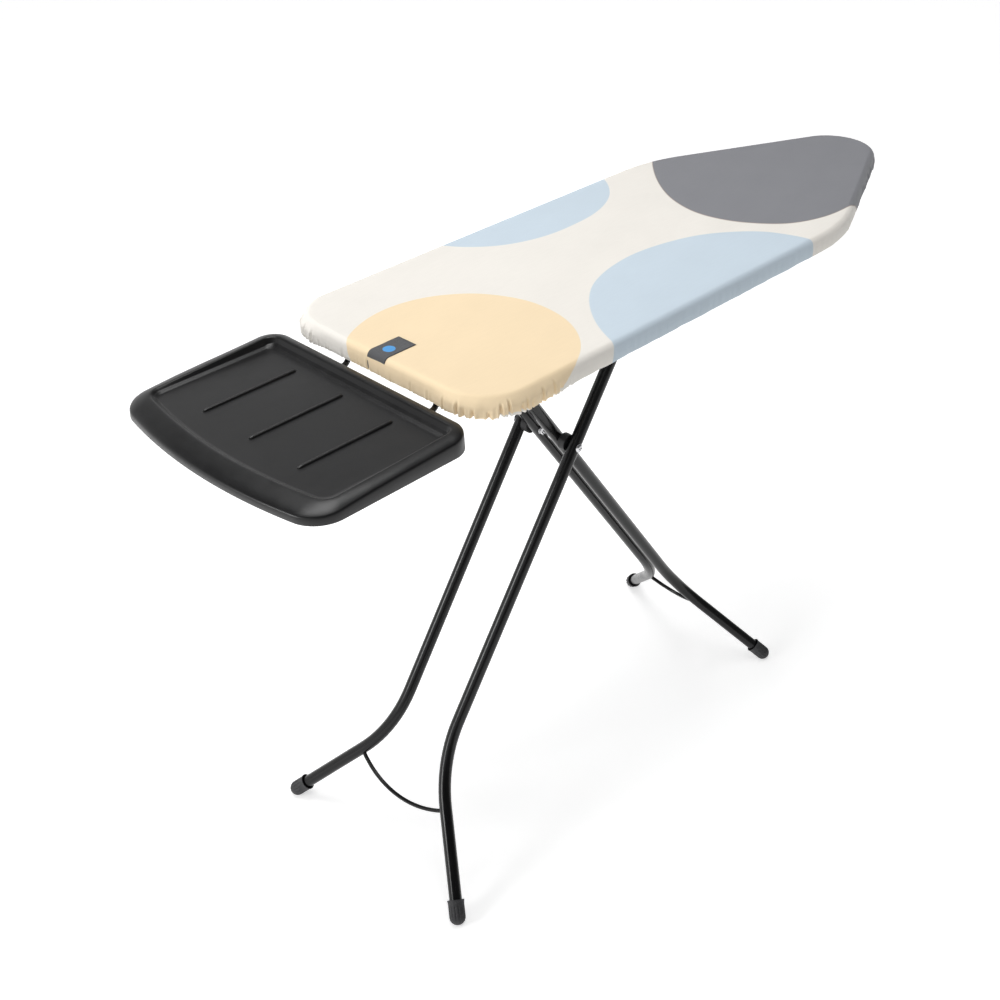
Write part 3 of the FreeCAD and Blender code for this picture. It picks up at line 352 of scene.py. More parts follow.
def cotton_material():
    """Printed plain-weave cotton with small seed flecks and faint creases."""
    nodes = Nodes("printed_cotton")
    flat = nodes.add("ShaderNodeUVMap", uv_map="cloth").outputs["UV"]
    axes = nodes.split(flat)
    printed = nodes.split(nodes.add("ShaderNodeUVMap", uv_map="print").outputs["UV"])
    ragged = nodes.math("SUBTRACT", nodes.noise(900, 2, vector=flat), 0.5)
    x = nodes.math("MULTIPLY_ADD", ragged, INK_BLEED, printed[0])
    y = nodes.math("MULTIPLY_ADD", ragged, INK_BLEED, printed[1])
    color = CREAM
    for ink, middle, halves, turn, power in PRINT_SHAPES:
        total = printed_shape(nodes, x, y, middle, halves, turn, power)
        color = nodes.mix(nodes.ramp(total, 1.005, 0.995), color, ink)
        if ink is GREY:
            off_edge = nodes.math("ABSOLUTE", nodes.math("SUBTRACT", total, 1.0))
            edge = nodes.ramp(off_edge, 0.012, 0.002, 0, 0.4)
            color = nodes.mix(edge, color, SEAM)
    flecks = nodes.ramp(nodes.noise(420, 2, 0.6, vector=flat), 0.72, 0.78, 0.0, 0.35)
    color = nodes.mix(flecks, color, FLECK)
    uneven = nodes.ramp(nodes.noise(7, 4, vector=flat), 0.3, 0.7, 0.97, 1.0)
    slubs = nodes.ramp(nodes.noise(260, 2, vector=flat, stretch=(0.12, 1, 1)), 0.35, 0.65, 0.985, 1.0)
    color = nodes.mix(1.0, color, nodes.gray(nodes.math("MULTIPLY", uneven, slubs)), "MULTIPLY")
    thread = 2 * math.pi / THREAD
    warp = nodes.math("SINE", nodes.math("MULTIPLY", axes[0], thread))
    weft = nodes.math("SINE", nodes.math("MULTIPLY", axes[1], thread))
    creases = nodes.noise(14, 5, 0.55, vector=flat, stretch=(0.5, 1.6, 1))
    normal = nodes.bump(creases, mm(1.4), 0.4)
    normal = nodes.bump(nodes.math("MULTIPLY", warp, weft), mm(0.05), 0.3, normal)
    return nodes.finish(color, 0.88, normal, Sheen_Weight=0.2, Sheen_Roughness=0.5, Specular_IOR_Level=0.2)


def powder_coat(name, base, roughness):
    """Painted metal: fine orange peel and a slightly uneven gloss."""
    nodes = Nodes(name)
    peel = nodes.noise(900.0, 2)
    patches = nodes.noise(26, 4)
    shade = nodes.ramp(patches, 0.3, 0.7, 0.0, 1.0)
    lighter = tuple(min(1.0, c * 1.25 + 0.002) for c in base[:3]) + (1.0,)
    color = nodes.mix(shade, base, lighter)
    rough = nodes.ramp(nodes.noise(70, 3), 0.3, 0.7, roughness - 0.04, roughness + 0.05)
    return nodes.finish(color, rough, nodes.bump(peel, mm(0.05), 0.5), Specular_IOR_Level=0.32)


def moulded_plastic(name, base, roughness):
    """Textured moulded plastic."""
    nodes = Nodes(name)
    spark = nodes.noise(1500.0, 3, 0.6)
    cloud = nodes.noise(9, 3)
    lighter = tuple(min(1.0, c * 1.3 + 0.001) for c in base[:3]) + (1.0,)
    color = nodes.mix(nodes.ramp(cloud, 0.35, 0.65), base, lighter)
    rough = nodes.ramp(nodes.noise(40, 4), 0.3, 0.7, roughness - 0.03, roughness + 0.04)
    return nodes.finish(color, rough, nodes.bump(spark, mm(0.08), 0.6), Specular_IOR_Level=0.38)


def metal_material(name, base, roughness, drawn=True):
    """Bare or plated steel; drawn steel has its fine marks stretched along Y."""
    nodes = Nodes(name)
    marks = nodes.noise(900, 3, stretch=(1.0, 0.03, 1.0) if drawn else None)
    rough = nodes.ramp(marks, 0.3, 0.7, roughness - 0.05, roughness + 0.08)
    darker = tuple(c * 0.88 for c in base[:3]) + (1.0,)
    color = nodes.mix(nodes.ramp(nodes.noise(60, 3), 0.3, 0.7), base, darker)
    return nodes.finish(color, rough, nodes.bump(marks, mm(0.02), 0.4), Metallic=1.0)


def rubber_material():
    """Matt black rubber."""
    nodes = Nodes("ribbed_rubber")
    dust = nodes.noise(420, 4, 0.7)
    color = nodes.mix(nodes.ramp(dust, 0.45, 0.75), rgb(50, 50, 52), rgb(76, 76, 78))
    return nodes.finish(color, 0.62, nodes.bump(nodes.noise(2500, 2), mm(0.06), 0.5), Specular_IOR_Level=0.4)


def fibre_material(name, base, darker, scale, depth):
    """Felt, foam or cord: a mottled soft surface."""
    nodes = Nodes(name)
    fibres = nodes.noise(scale, 5, 0.7)
    color = nodes.mix(nodes.ramp(fibres, 0.35, 0.65), base, darker)
    return nodes.finish(color, 0.95, nodes.bump(fibres, mm(depth), 0.8), Sheen_Weight=0.2)


def ribbon_material():
    """Dark woven ribbon with black selvages and one blue dot near its fold."""
    nodes = Nodes("woven_ribbon")
    flat = nodes.add("ShaderNodeUVMap", uv_map="cloth").outputs["UV"]
    axes = nodes.split(flat)
    middle_y = (label_low.y + label_high.y) / 2
    dx = nodes.math("SUBTRACT", axes[0], SQUARE_END + DOT_PLACE)
    dy = nodes.math("SUBTRACT", axes[1], middle_y)
    far = nodes.math("SQRT", nodes.math("ADD", nodes.math("POWER", dx, 2.0), nodes.math("POWER", dy, 2.0)))
    dot = nodes.ramp(far, DOT_RADIUS, DOT_RADIUS - SOFT_EDGE)
    edge = nodes.math("ABSOLUTE", dy)
    half = (label_high.y - label_low.y) / 2
    selvage = nodes.ramp(edge, half - SELVAGE, half - mm(1.3))
    thread = 2 * math.pi / RIBBON_THREAD
    rows = nodes.math("SINE", nodes.math("MULTIPLY", axes[0], thread))
    columns = nodes.math("SINE", nodes.math("MULTIPLY", axes[1], thread * 1.6))
    weave = nodes.math("MULTIPLY", rows, columns)
    ground = nodes.mix(nodes.ramp(weave, -1.0, 1.0), rgb(62, 63, 66), rgb(78, 79, 82))
    color = nodes.mix(selvage, ground, rgb(20, 20, 21))
    color = nodes.mix(dot, color, DOT_BLUE)
    return nodes.finish(color, 0.6, nodes.bump(weave, mm(0.06), 0.5), Sheen_Weight=0.1)


# ---------------------------------------------------------------- lofted shapes
def loft(name, rings, cap_first=False, cap_last=False):
    """A mesh through closed rings of the same number of points, with its ends left open or filled."""
    count = len(rings[0])
    vertices = [point for ring in rings for point in ring]
    faces = ring_faces(len(rings), count)
    if cap_first:
        faces.append(tuple(reversed(range(count))))
    if cap_last:
        first = (len(rings) - 1) * count
        faces.append(tuple(range(first, first + count)))
    item = new_mesh(name, vertices, faces)
    weld(item, mm(0.001))
    return item


def circle(middle, axis_u, axis_v, radius, count):
    """Points round a circle in the plane of two unit vectors; radius may depend on the angle."""
    points = []
    for step in range(count):
        angle = 2 * math.pi * step / count
        reach = radius(angle) if callable(radius) else radius
        points.append(middle + axis_u * (reach * math.cos(angle)) + axis_v * (reach * math.sin(angle)))
    return points


def square_to(axis):
    """Two unit vectors square to an axis."""
    helper = Vector((0, 0, 1)) if abs(axis.z) < 0.9 else Vector((1, 0, 0))
    first = axis.cross(helper).normalized()
    return first, axis.cross(first).normalized()


def tube(name, path, radius, sides=12, closed=False):
    """A round tube along a list of points; radius may depend on the distance and the angle."""
    rings = []
    travelled = 0.0
    for index, point in enumerate(path):
        before = path[index - 1] if index or closed else path[index]
        after = path[(index + 1) % len(path)] if index + 1 < len(path) or closed else path[index]
        along = (after - before).normalized()
        u = Vector((0, 0, 1)) - along * along.z
        u = u.normalized() if u.length > 0.2 else square_to(along)[0]
        v = along.cross(u)
        if index:
            travelled += (point - path[index - 1]).length
        place = travelled
        reach = (lambda angle, s=place: radius(s, angle)) if callable(radius) else radius
        rings.append(circle(point, u, v, reach, sides))
    if closed:
        rings.append(rings[0])
    return loft(name, rings, not closed, not closed)


def stand_for(item, body, slot, *nodes):
    """Makes a piece ride on a body in place of CAD nodes and gives it its finish."""
    item.data.materials.append(finishes[slot])
    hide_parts(*nodes)
    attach(item, body)
    return item


# ---------------------------------------------------------------- cover
EDGE_ROUND = mm(10)
HEM_WIDTH = mm(34)
TURN_UNDER = mm(4)
CLOTH = mm(0.5)
HEM_LIFT = mm(0.5)
SKIRT_SWELL = mm(0.6)
PRINT_GIVE = 0.5
FULLNESS = mm(5.0)
NOSE_FULLNESS = mm(1.2)
NOSE_FROM = mm(900)
DEEPEST_DENT = mm(-0.3)
TOP_RINGS = 34
EDGE_STEPS, TURN_STEPS = 8, 5

PLEAT_DEPTH = mm(6.0)
PLEAT_WIDTHS = (1.2, 2.2)
PLEAT_SPACINGS = (8, 22)

# Shortest and longest waves of the skirt, of its hem and of the padded top.
BROAD_WAVES, FINE_WAVES = (mm(60), mm(160)), (mm(14), mm(30))
HEM_WAVES, TUCK_WAVES = (mm(26), mm(70)), (mm(7), mm(13))
TOP_WAVES, TOP_DIP = (mm(110), mm(320)), mm(0.3)

# Where the drawcord's pull fades or rises, from the square end or the middle line, and its shares.
CORNER_FADE, CORNER_RISE = (mm(80), mm(230)), (mm(90), mm(170))
END_FADE, NOSE_RISE = (mm(2), mm(30)), (mm(960), mm(1150))
END_PULL, NOSE_PULL, LEAST_PULL = 0.3, 0.8, 0.05


def edge_inset(level):
    """How far in from the plan the rounded edge of the cover lies at a level."""
    rise = max(0.0, level - (COVER_TOP - EDGE_ROUND))
    return EDGE_ROUND - math.sqrt(max(0.0, EDGE_ROUND ** 2 - min(rise, EDGE_ROUND) ** 2))


def cover_profile():
    """The cover's section from the flat top over the edge, down the skirt and in under the rim:
    inset from the plan, level, and how far down the cloth it is from where the top ends."""
    points = []
    for step in range(EDGE_STEPS + 1):
        angle = math.pi / 2 * step / EDGE_STEPS
        points.append((EDGE_ROUND * (1 - math.sin(angle)),
                       COVER_TOP - EDGE_ROUND * (1 - math.cos(angle))))
    high, low = COVER_TOP - EDGE_ROUND, SKIRT_BASE + TURN_UNDER
    for step in range(1, EDGE_STEPS + 1):
        points.append((-SKIRT_SWELL * math.sin(math.pi * step / EDGE_STEPS),
                       high + (low - high) * step / EDGE_STEPS))
    for step in range(1, TURN_STEPS + 1):
        angle = math.pi / 2 * step / TURN_STEPS
        points.append((TURN_UNDER * (1 - math.cos(angle)),
                       low - (TURN_UNDER - HEM_LIFT) * math.sin(angle)))
    for step in range(1, EDGE_STEPS + 1):
        points.append((TURN_UNDER + (HEM_WIDTH - TURN_UNDER) * step / EDGE_STEPS,
                       SKIRT_BASE + HEM_LIFT))
    travelled = 0.0
    out = []
    for index, point in enumerate(points):
        if index:
            travelled += math.dist(point, points[index - 1])
        out.append((*point, travelled))
    return out


def gather(x, y):
    """How strongly the drawcord gathers the cloth at a place of the plan: most at the two corners."""
    along = x - SQUARE_END
    corner = (1 - smooth_step(*CORNER_FADE, along)) * smooth_step(*CORNER_RISE, abs(y))
    end = END_PULL * (1 - smooth_step(*END_FADE, along))
    nose = NOSE_PULL * smooth_step(*NOSE_RISE, along)
    return max(corner, end, nose, LEAST_PULL)


def pleats(plan, along, length):
    """Folds of the gathered skirt: place along the plan, depth, width and where each starts."""
    draw = random.Random(21)
    out = []
    s = 0.0
    while s < length - mm(PLEAT_SPACINGS[0]):
        index = min(range(0, len(plan), 4), key=lambda i: abs(along[i] - s))
        tight = gather(*plan[index][:2])
        if tight > 0.25 or draw.random() < 0.3:
            out.append((s, draw.uniform(0.5, 1.0) * PLEAT_DEPTH * tight, draw.uniform(*PLEAT_WIDTHS) * mm(1),
                        draw.uniform(0.0, 0.5)))
        s += mm(draw.uniform(*PLEAT_SPACINGS)) / (0.3 + 0.7 * tight)
    return out


def fold_depth(s, down, folds, length):
    """How far the pleats pull the cloth in at a place: a sharp valley between two soft swells."""
    total = 0.0
    for place, depth, width, start in folds:
        far = (s - place + length / 2) % length - length / 2
        if abs(far) < 5 * width:
            u = far / width
            valley = math.exp(-u * u) - 0.4 * math.exp(-(abs(u) - 2.2) ** 2)
            total += depth * valley * smooth_step(start, start + 0.45, down)
    return total


def make_cover():
    """Printed cotton pulled over the pad and gathered under the rim by its hem."""
    plan = board_outline(spacing=mm(1.5))
    count = len(plan)
    along = [0.0]
    for index in range(1, count):
        along.append(along[-1] + math.dist(plan[index][:2], plan[index - 1][:2]))
    length = along[-1] + math.dist(plan[0][:2], plan[-1][:2])
    tight = [gather(x, y) for x, y, _, _ in plan]
    folds = pleats(plan, along, length)
    broad = waves(11, 7, length, *BROAD_WAVES)
    fine = waves(12, 9, length, *FINE_WAVES)
    hem = waves(13, 9, length, *HEM_WAVES)
    tuck = waves(14, 8, length, *TUCK_WAVES)
    profile = cover_profile()
    depth = profile[-1][2]
    edge_end = EDGE_ROUND * math.pi / 2
    skirt_end = next(travelled for _, level, travelled in profile
                     if level < SKIRT_BASE + TURN_UNDER + mm(0.001))
    vertices, cloth, ink = [], [], []
    for inset, level, travelled in profile:
        down = smooth_step(edge_end * 0.3, skirt_end, travelled)
        place = (travelled - edge_end * 0.55) / (skirt_end - edge_end * 0.55)
        under = smooth_step(skirt_end, depth, travelled)
        drawn = PRINT_GIVE * max(0.0, travelled - EDGE_ROUND)
        rounded = inset if travelled < edge_end else 0.0
        for (x, y, nx, ny), s, pull in zip(plan, along, tight):
            dent = fold_depth(s, place, folds, length) if place > 0 else 0.0
            push = (mm(0.5) * broad(s) + mm(0.12 + 0.8 * pull) * fine(s)) * down * (1 - under)
            fullness = NOSE_FULLNESS if x > SQUARE_END + NOSE_FROM else FULLNESS * pull
            push += (fullness * smooth_step(0.0, 0.5, place) - dent) * (1 - under)
            push = max(push, DEEPEST_DENT)
            lift = down * mm(0.3 + 0.6 * pull) * hem(s) + 0.25 * dent
            lift += under * mm(0.3 + 0.9 * pull) * (1 + tuck(s))
            lift = max(lift, SKIRT_BASE - mm(0.4) - level)
            vertices.append((x + nx * (push - inset), y + ny * (push - inset), level + lift))
            cloth.append((x + nx * (travelled - EDGE_ROUND), y + ny * (travelled - EDGE_ROUND)))
            ink.append((x + nx * (drawn - rounded), y + ny * (drawn - rounded)))
    dents = waves(15, 6, mm(900), *TOP_WAVES)
    for ring in range(1, TOP_RINGS + 1):
        share = ring / TOP_RINGS
        inside = smooth_step(0, 0.15, share)
        for x, y, nx, ny in plan:
            ex, ey = x - nx * EDGE_ROUND, y - ny * EDGE_ROUND
            px = ex + (min(max(ex, SPINE_FROM), SPINE_TO) - ex) * share
            py = ey - ey * share
            dip = TOP_DIP * inside * (dents(px * 1.3 + py * 0.7) + dents(py * 1.7 - px * 0.6) - 1)
            vertices.append((px, py, COVER_TOP + dip))
            cloth.append((px, py))
            ink.append((px, py))
    faces = [tuple(reversed(face)) for face in ring_faces(len(profile), count)]
    first_top = len(profile) * count
    for index in range(count):
        following = (index + 1) % count
        faces.append((index, following, first_top + following, first_top + index))
    faces += ring_faces(TOP_RINGS, count, first_top)
    item = new_mesh("cover_cloth", vertices, faces)
    for name, places in (("cloth", cloth), ("print", ink)):
        layer = item.data.uv_layers.new(name=name)
        for loop in item.data.loops:
            layer.data[loop.index].uv = places[loop.vertex_index]
    weld(item, mm(0.2))
    thicken = item.modifiers.new("cloth", "SOLIDIFY")
    thicken.thickness = CLOTH
    thicken.offset = -1
    stand_for(item, "board", "cover_cotton", "cover")


# ---------------------------------------------------------------- foam, felt and drawcord
PAD_GAP = mm(1.0)
PAD_CROWN = mm(6)
PAD_WAVES = (mm(16), mm(60))
PAD_RINGS = 14
CORD_INSET = mm(1.9)
CORD_LAY = mm(4)


def make_pad(name, node, slot, quilt):
    """A layer of the pad: flat below, with an edge that follows the rounded cover, softly uneven."""
    low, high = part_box(node)
    plan = board_outline(spacing=mm(5))
    bumps = waves(31 + len(node), 8, mm(1200), *PAD_WAVES)

    def ring(extra, level, uneven=0.0):
        out = []
        for x, y, nx, ny in plan:
            inset = edge_inset(level) + CLOTH + PAD_GAP + extra
            px, py = x - nx * inset, y - ny * inset
            dip = uneven * (bumps(px + 0.8 * py) + bumps(py * 1.3 - px * 0.7) - 2)
            out.append((px, py, level + dip))
        return out

    def inner(share, level, uneven):
        out = []
        for x, y, nx, ny in plan:
            inset = edge_inset(level) + PAD_CROWN
            ex, ey = x - nx * inset, y - ny * inset
            spine = min(max(ex, SPINE_FROM), SPINE_TO)
            px, py = ex + (spine - ex) * share, ey * (1 - share)
            dip = uneven * (bumps(px + 0.8 * py) + bumps(py * 1.3 - px * 0.7) - 2)
            out.append((px, py, level + dip))
        return out

    shares = [step / PAD_RINGS for step in range(PAD_RINGS, 0, -1)]
    rings = [inner(share, low.z, 0.0) for share in shares]
    rings += [ring(mm(1.2), low.z), ring(mm(0.3), low.z + mm(0.5)), ring(0.0, (low.z + high.z) / 2)]
    rings += [ring(mm(0.2), high.z - mm(0.7)), ring(mm(1.4), high.z - mm(0.1), quilt * 0.3)]
    rings += [inner(share, high.z, quilt) for share in reversed(shares)]
    item = loft(name, rings)
    stand_for(item, "board", slot, node)


def make_drawcord():
    """Three-strand cord round the hem of the cover."""
    low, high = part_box("hem_drawcord")
    radius = (high.z - low.z) / 2
    plan = board_outline(HEM_WIDTH + CORD_INSET)
    path = [Vector((x, y, low.z + radius)) for x, y, _, _ in plan]

    def strands(s, angle):
        return radius * (0.86 + 0.14 * abs(math.cos(1.5 * (angle + s / CORD_LAY))))
    stand_for(tube("gathering_cord", path, strands, 12, closed=True), "board", "drawcord", "hem_drawcord")


# ---------------------------------------------------------------- ribbon
RIBBON_PROUD, RIBBON_THICKNESS = mm(0.35), mm(0.3)
RIBBON_CURL = mm(0.12)
RUN_STEPS, TURN_ROWS, RIBBON_COLUMNS = 12, 8, 16


def make_ribbon():
    """Woven ribbon sewn flat on the cover, over its edge and down the skirt."""
    low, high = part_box("cover_label")
    drop = high.z - low.z
    arc = EDGE_ROUND + RIBBON_PROUD
    steps = []
    run = high.x - SQUARE_END - EDGE_ROUND
    for step in range(RUN_STEPS + 1):
        travelled = run * step / RUN_STEPS
        steps.append((high.x - travelled, COVER_TOP + RIBBON_PROUD, travelled))
    for step in range(1, TURN_ROWS + 1):
        angle = math.pi / 2 * step / TURN_ROWS
        steps.append((SQUARE_END + EDGE_ROUND - arc * math.sin(angle),
                      COVER_TOP - EDGE_ROUND + arc * math.cos(angle), run + arc * angle))
    turned = run + arc * math.pi / 2
    for step in range(1, TURN_ROWS + 1):
        fall = (drop - EDGE_ROUND) * step / TURN_ROWS
        steps.append((SQUARE_END - RIBBON_PROUD - mm(0.5) * math.sin(math.pi * step / TURN_ROWS),
                      COVER_TOP - EDGE_ROUND - fall, turned + fall))
    columns = RIBBON_COLUMNS
    vertices, cloth = [], []
    for x, z, travelled in steps:
        for column in range(columns + 1):
            y = low.y + (high.y - low.y) * column / columns
            curl = RIBBON_CURL * math.sin(column * 1.9 + travelled / mm(6))
            vertices.append((x - curl * (z < COVER_TOP - EDGE_ROUND), y,
                             z + curl * (x > SQUARE_END + EDGE_ROUND)))
            cloth.append((high.x - travelled, y))
    faces = []
    for row in range(len(steps) - 1):
        for column in range(columns):
            a = row * (columns + 1) + column
            faces.append((a, a + 1, a + columns + 2, a + columns + 1))
    item = new_mesh("sewn_ribbon", vertices, faces)
    layer = item.data.uv_layers.new(name="cloth")
    for loop in item.data.loops:
        layer.data[loop.index].uv = cloth[loop.vertex_index]
    thicken = item.modifiers.new("ribbon", "SOLIDIFY")
    thicken.thickness = RIBBON_THICKNESS
    thicken.offset = 0
    stand_for(item, "board", "woven_ribbon", "cover_label")


# ---------------------------------------------------------------- rest for a steam unit
REST_BACK, REST_FRONT = mm(20), mm(322)
REST_HALF = mm(225)
REST_CORNERS = (mm(37), mm(52))
REST_BOW, RECESS_BOW, FLOOR_BOW = mm(930), mm(900), mm(1000)
REST_FLOOR = mm(930.5)
REST_WALL = mm(3)
RIB_WIDTH, RIB_HEIGHT, RIB_SUNK = mm(3.4), mm(3.1), mm(0.6)
RIB_BACK, RIB_FRONT = mm(68), mm(236)
RIB_SPACING = mm(108)


def between(table, value):
    """Interpolates in a short table of (place, height)."""
    for (a, low), (b, high) in zip(table, table[1:]):
        if value <= b:
            return low + (high - low) * min(1.0, max(0.0, (value - a) / (b - a)))
    return table[-1][1]


def rim_level(t):
    """Level of the crest round the recess, falling from the back to the front."""
    return mm(between(((30, 944), (60, 943.4), (287, 935.4)), t / mm(1)))


def shoulder_level(t):
    """Level where the top of the rest turns down into the outer wall."""
    return mm(between(((18, 942.4), (26, 941.2), (60, 938.4), (110, 936.6), (157, 935.4), (203, 933.6),
                       (241, 931.2), (290, 927.6), (322, 926)), t / mm(1)))


def rest_ring(side, front, back, level, bow=REST_BOW):
    """A ring of the rest: its plan moved in at the sides, front and back, at a level that may
    depend on the distance from the board's square end."""
    corner = max(mm(9), REST_CORNERS[0] - (side + back) / 2)
    nose = max(mm(18), REST_CORNERS[1] - (side + front) / 2)
    plan = rest_outline(REST_BACK + back, REST_FRONT - front, REST_HALF - side, corner, nose, bow)
    return [(x, y, level(SQUARE_END - x) if callable(level) else level) for x, y, _, _ in plan]


def make_rest():
    """Thin moulding with a wide rolled rim at the back, a recess with a stepped wall and a broad
    lip that slopes to the front."""
    base = rest_low.z

    def shoulder(drop):
        return lambda t: shoulder_level(t) - mm(drop)

    def blend(share, extra=0.0):
        return lambda t: shoulder_level(t) * (1 - share) + rim_level(t) * share + mm(extra)

    def wall(share, extra=0.0):
        return lambda t: rim_level(t) * (1 - share) + (REST_FLOOR + mm(2.6)) * share + mm(extra)

    def ring(side, front, back, level, bow=REST_BOW):
        return rest_ring(mm(side), mm(front), mm(back), level, bow)

    under = [
        ring(46, 62, 60, REST_FLOOR - REST_WALL, FLOOR_BOW),
        ring(31, 42, 34, REST_FLOOR - REST_WALL, RECESS_BOW),
        ring(24, 36, 24, lambda t: max(rim_level(t) - mm(8.5), REST_FLOOR - REST_WALL), RECESS_BOW),
        ring(19, 31, 15, lambda t: rim_level(t) - mm(3.4), RECESS_BOW),
        ring(9, 15, 6.5, blend(0.4, -3.4)),
        ring(3.4, 4.4, 3.4, shoulder(5)),
        ring(2.8, 2.8, 2.8, base + mm(2)),
        ring(2.2, 2.2, 2.2, base),
    ]
    outside = [
        ring(0.6, 0.6, 0.6, base),
        ring(0.1, 0.1, 0.1, base + mm(0.8)),
        ring(0.9, 0.5, 0.6, shoulder(5)),
        ring(1.4, 0.8, 0.9, shoulder(2.6)),
        ring(2.2, 1.6, 1.5, shoulder(1.1)),
        ring(3.6, 3.0, 2.6, shoulder(0.2)),
        ring(5.4, 5.2, 4.2, blend(0.08, 0.5)),
        ring(9.5, 13, 6.5, blend(0.36, 0.9)),
        ring(15, 25, 9.5, blend(0.74, 0.5)),
        ring(18.6, 31, 12.5, blend(0.95, 0.15), RECESS_BOW),
        ring(20.4, 34.4, 15, rim_level, RECESS_BOW),
        ring(21.4, 35.6, 16.6, wall(0.05, -0.05), RECESS_BOW),
        ring(22.4, 36.6, 18.2, wall(0.2), RECESS_BOW),
        ring(24.6, 38.6, 22.8, wall(0.78), RECESS_BOW),
        ring(25.6, 39.4, 25.0, wall(0.97), RECESS_BOW),
        ring(27.0, 40.4, 27.5, REST_FLOOR + mm(2.4), RECESS_BOW),
        ring(28.2, 41.2, 29.4, REST_FLOOR + mm(1.9), RECESS_BOW),
        ring(29.8, 42.4, 32.0, REST_FLOOR + mm(0.6), RECESS_BOW),
        ring(32.0, 44.0, 35.0, REST_FLOOR + mm(0.08), RECESS_BOW),
        ring(35.0, 47.0, 39.0, REST_FLOOR, RECESS_BOW),
        ring(48.0, 60.0, 62.0, REST_FLOOR, FLOOR_BOW),
    ]
    item = loft("moulded_rest", under + outside, cap_first=True, cap_last=True)
    add_ribs(item)
    stand_for(item, "board", "black_moulding", "steam_unit_rest")


def add_ribs(item):
    """Three low ribs along the recess, each a rounded bar that runs out at its ends."""
    work = bmesh.new()
    work.from_mesh(item.data)
    back, front = SQUARE_END - RIB_BACK, SQUARE_END - RIB_FRONT
    for y in (-RIB_SPACING, 0.0, RIB_SPACING):
        rings = []
        for step in range(41):
            share = step / 40
            x = back + (front - back) * share
            end = min(1.0, min(share, 1 - share) * 40 / 1.6)
            swell = math.sqrt(max(0.0, 1 - (1 - end) ** 2))
            ring = []
            for side in range(13):
                angle = math.pi * side / 12
                z = REST_FLOOR - RIB_SUNK + (RIB_HEIGHT + RIB_SUNK) * swell * math.sin(angle)
                half = RIB_WIDTH * (0.35 + 0.65 * swell)
                ring.append(work.verts.new((x, y - half * math.cos(angle), z)))
            rings.append(ring)
        for a, b in zip(rings, rings[1:]):
            for side in range(12):
                work.faces.new((a[side], a[side + 1], b[side + 1], b[side])).smooth = True
            work.faces.new((a[12], a[0], b[0], b[12]))
        work.faces.new(list(reversed(rings[0])))
        work.faces.new(rings[-1])
    bmesh.ops.recalc_face_normals(work, faces=work.faces)
    work.to_mesh(item.data)
    work.free()


# ---------------------------------------------------------------- feet
LEG_SLOPE = math.radians(55.6)
LEG_SPLAY = math.radians(37)
FOOT_RADIUS = mm(14)
FOOT_RIBS = 14
FOOT_REACH = mm(28)
FOOT_MIDDLE = mm(13.4)
FLUTE_DEPTH = mm(1.3)

# Lip and mouth of a foot: distance back from its open end, and radius.
FOOT_MOUTH = ((5, 14.1), (2.4, 14.4), (1.2, 14.9), (0.5, 15.0), (0, 14.6), (0, 13.4),
              (0.8, 13.0), (4, 12.9), (5.5, 12.2), (6.5, 11.1), (12, 11.1))


def make_foot(node, body):
    """Rubber cap with fluted sides that run over its dome, and a thin lip at its mouth."""
    low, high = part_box(node)
    toward = 1 if (low.x + high.x) > 0 else -1
    out = 1 if (low.y + high.y) > 0 else -1
    outer = Vector((high.x if toward > 0 else low.x, high.y if out > 0 else low.y, 0))
    middle = Vector((outer.x - toward * FOOT_RADIUS, outer.y - out * FOOT_RADIUS, FOOT_MIDDLE))
    down = Vector((toward * math.cos(LEG_SLOPE), 0, -math.sin(LEG_SLOPE)))
    axis = -(down * math.cos(LEG_SPLAY) + Vector((0, out * math.sin(LEG_SPLAY), 0)))
    u, v = square_to(axis)

    def fluted(radius, strength):
        def reach(angle):
            return radius - FLUTE_DEPTH * strength * max(0.0, math.cos(FOOT_RIBS * angle)) ** 1.5
        return reach

    rings = []
    for step in range(1, 11):
        angle = math.pi / 2 * step / 10
        radius = FOOT_RADIUS * math.sin(angle)
        strength = smooth_step(0.3, 0.8, step / 10)
        rings.append((-FOOT_RADIUS * math.cos(angle), fluted(radius, strength)))
    for step in range(1, 13):
        t = (FOOT_REACH - mm(7)) * step / 12
        rings.append((t, fluted(FOOT_RADIUS, 1 - smooth_step(FOOT_REACH - mm(12), FOOT_REACH - mm(8), t))))
    rings += [(FOOT_REACH - mm(t), mm(r)) for t, r in FOOT_MOUTH]
    points = [circle(middle + axis * t, u, v, r, FOOT_RIBS * 8) for t, r in rings]
    points = [[Vector((p.x, p.y, max(p.z, 0.0))) for p in ring] for ring in points]
    item = loft(node + "_cap", points, cap_first=True, cap_last=True)
    stand_for(item, body, "rubber_feet", node)


# ---------------------------------------------------------------- bolts and spring
SHANK_RADIUS, SHANK_CHAMFER = mm(4), mm(0.8)
CROSS_HALF_WIDTH, CROSS_REACH, CROSS_DEPTH = mm(0.9), mm(4), mm(1.7)
BOLT_SIDES, HEAD_RINGS = 72, 25
SPRING_WIRE, SPRING_TURNS, TURN_POINTS = mm(0.8), 7, 32


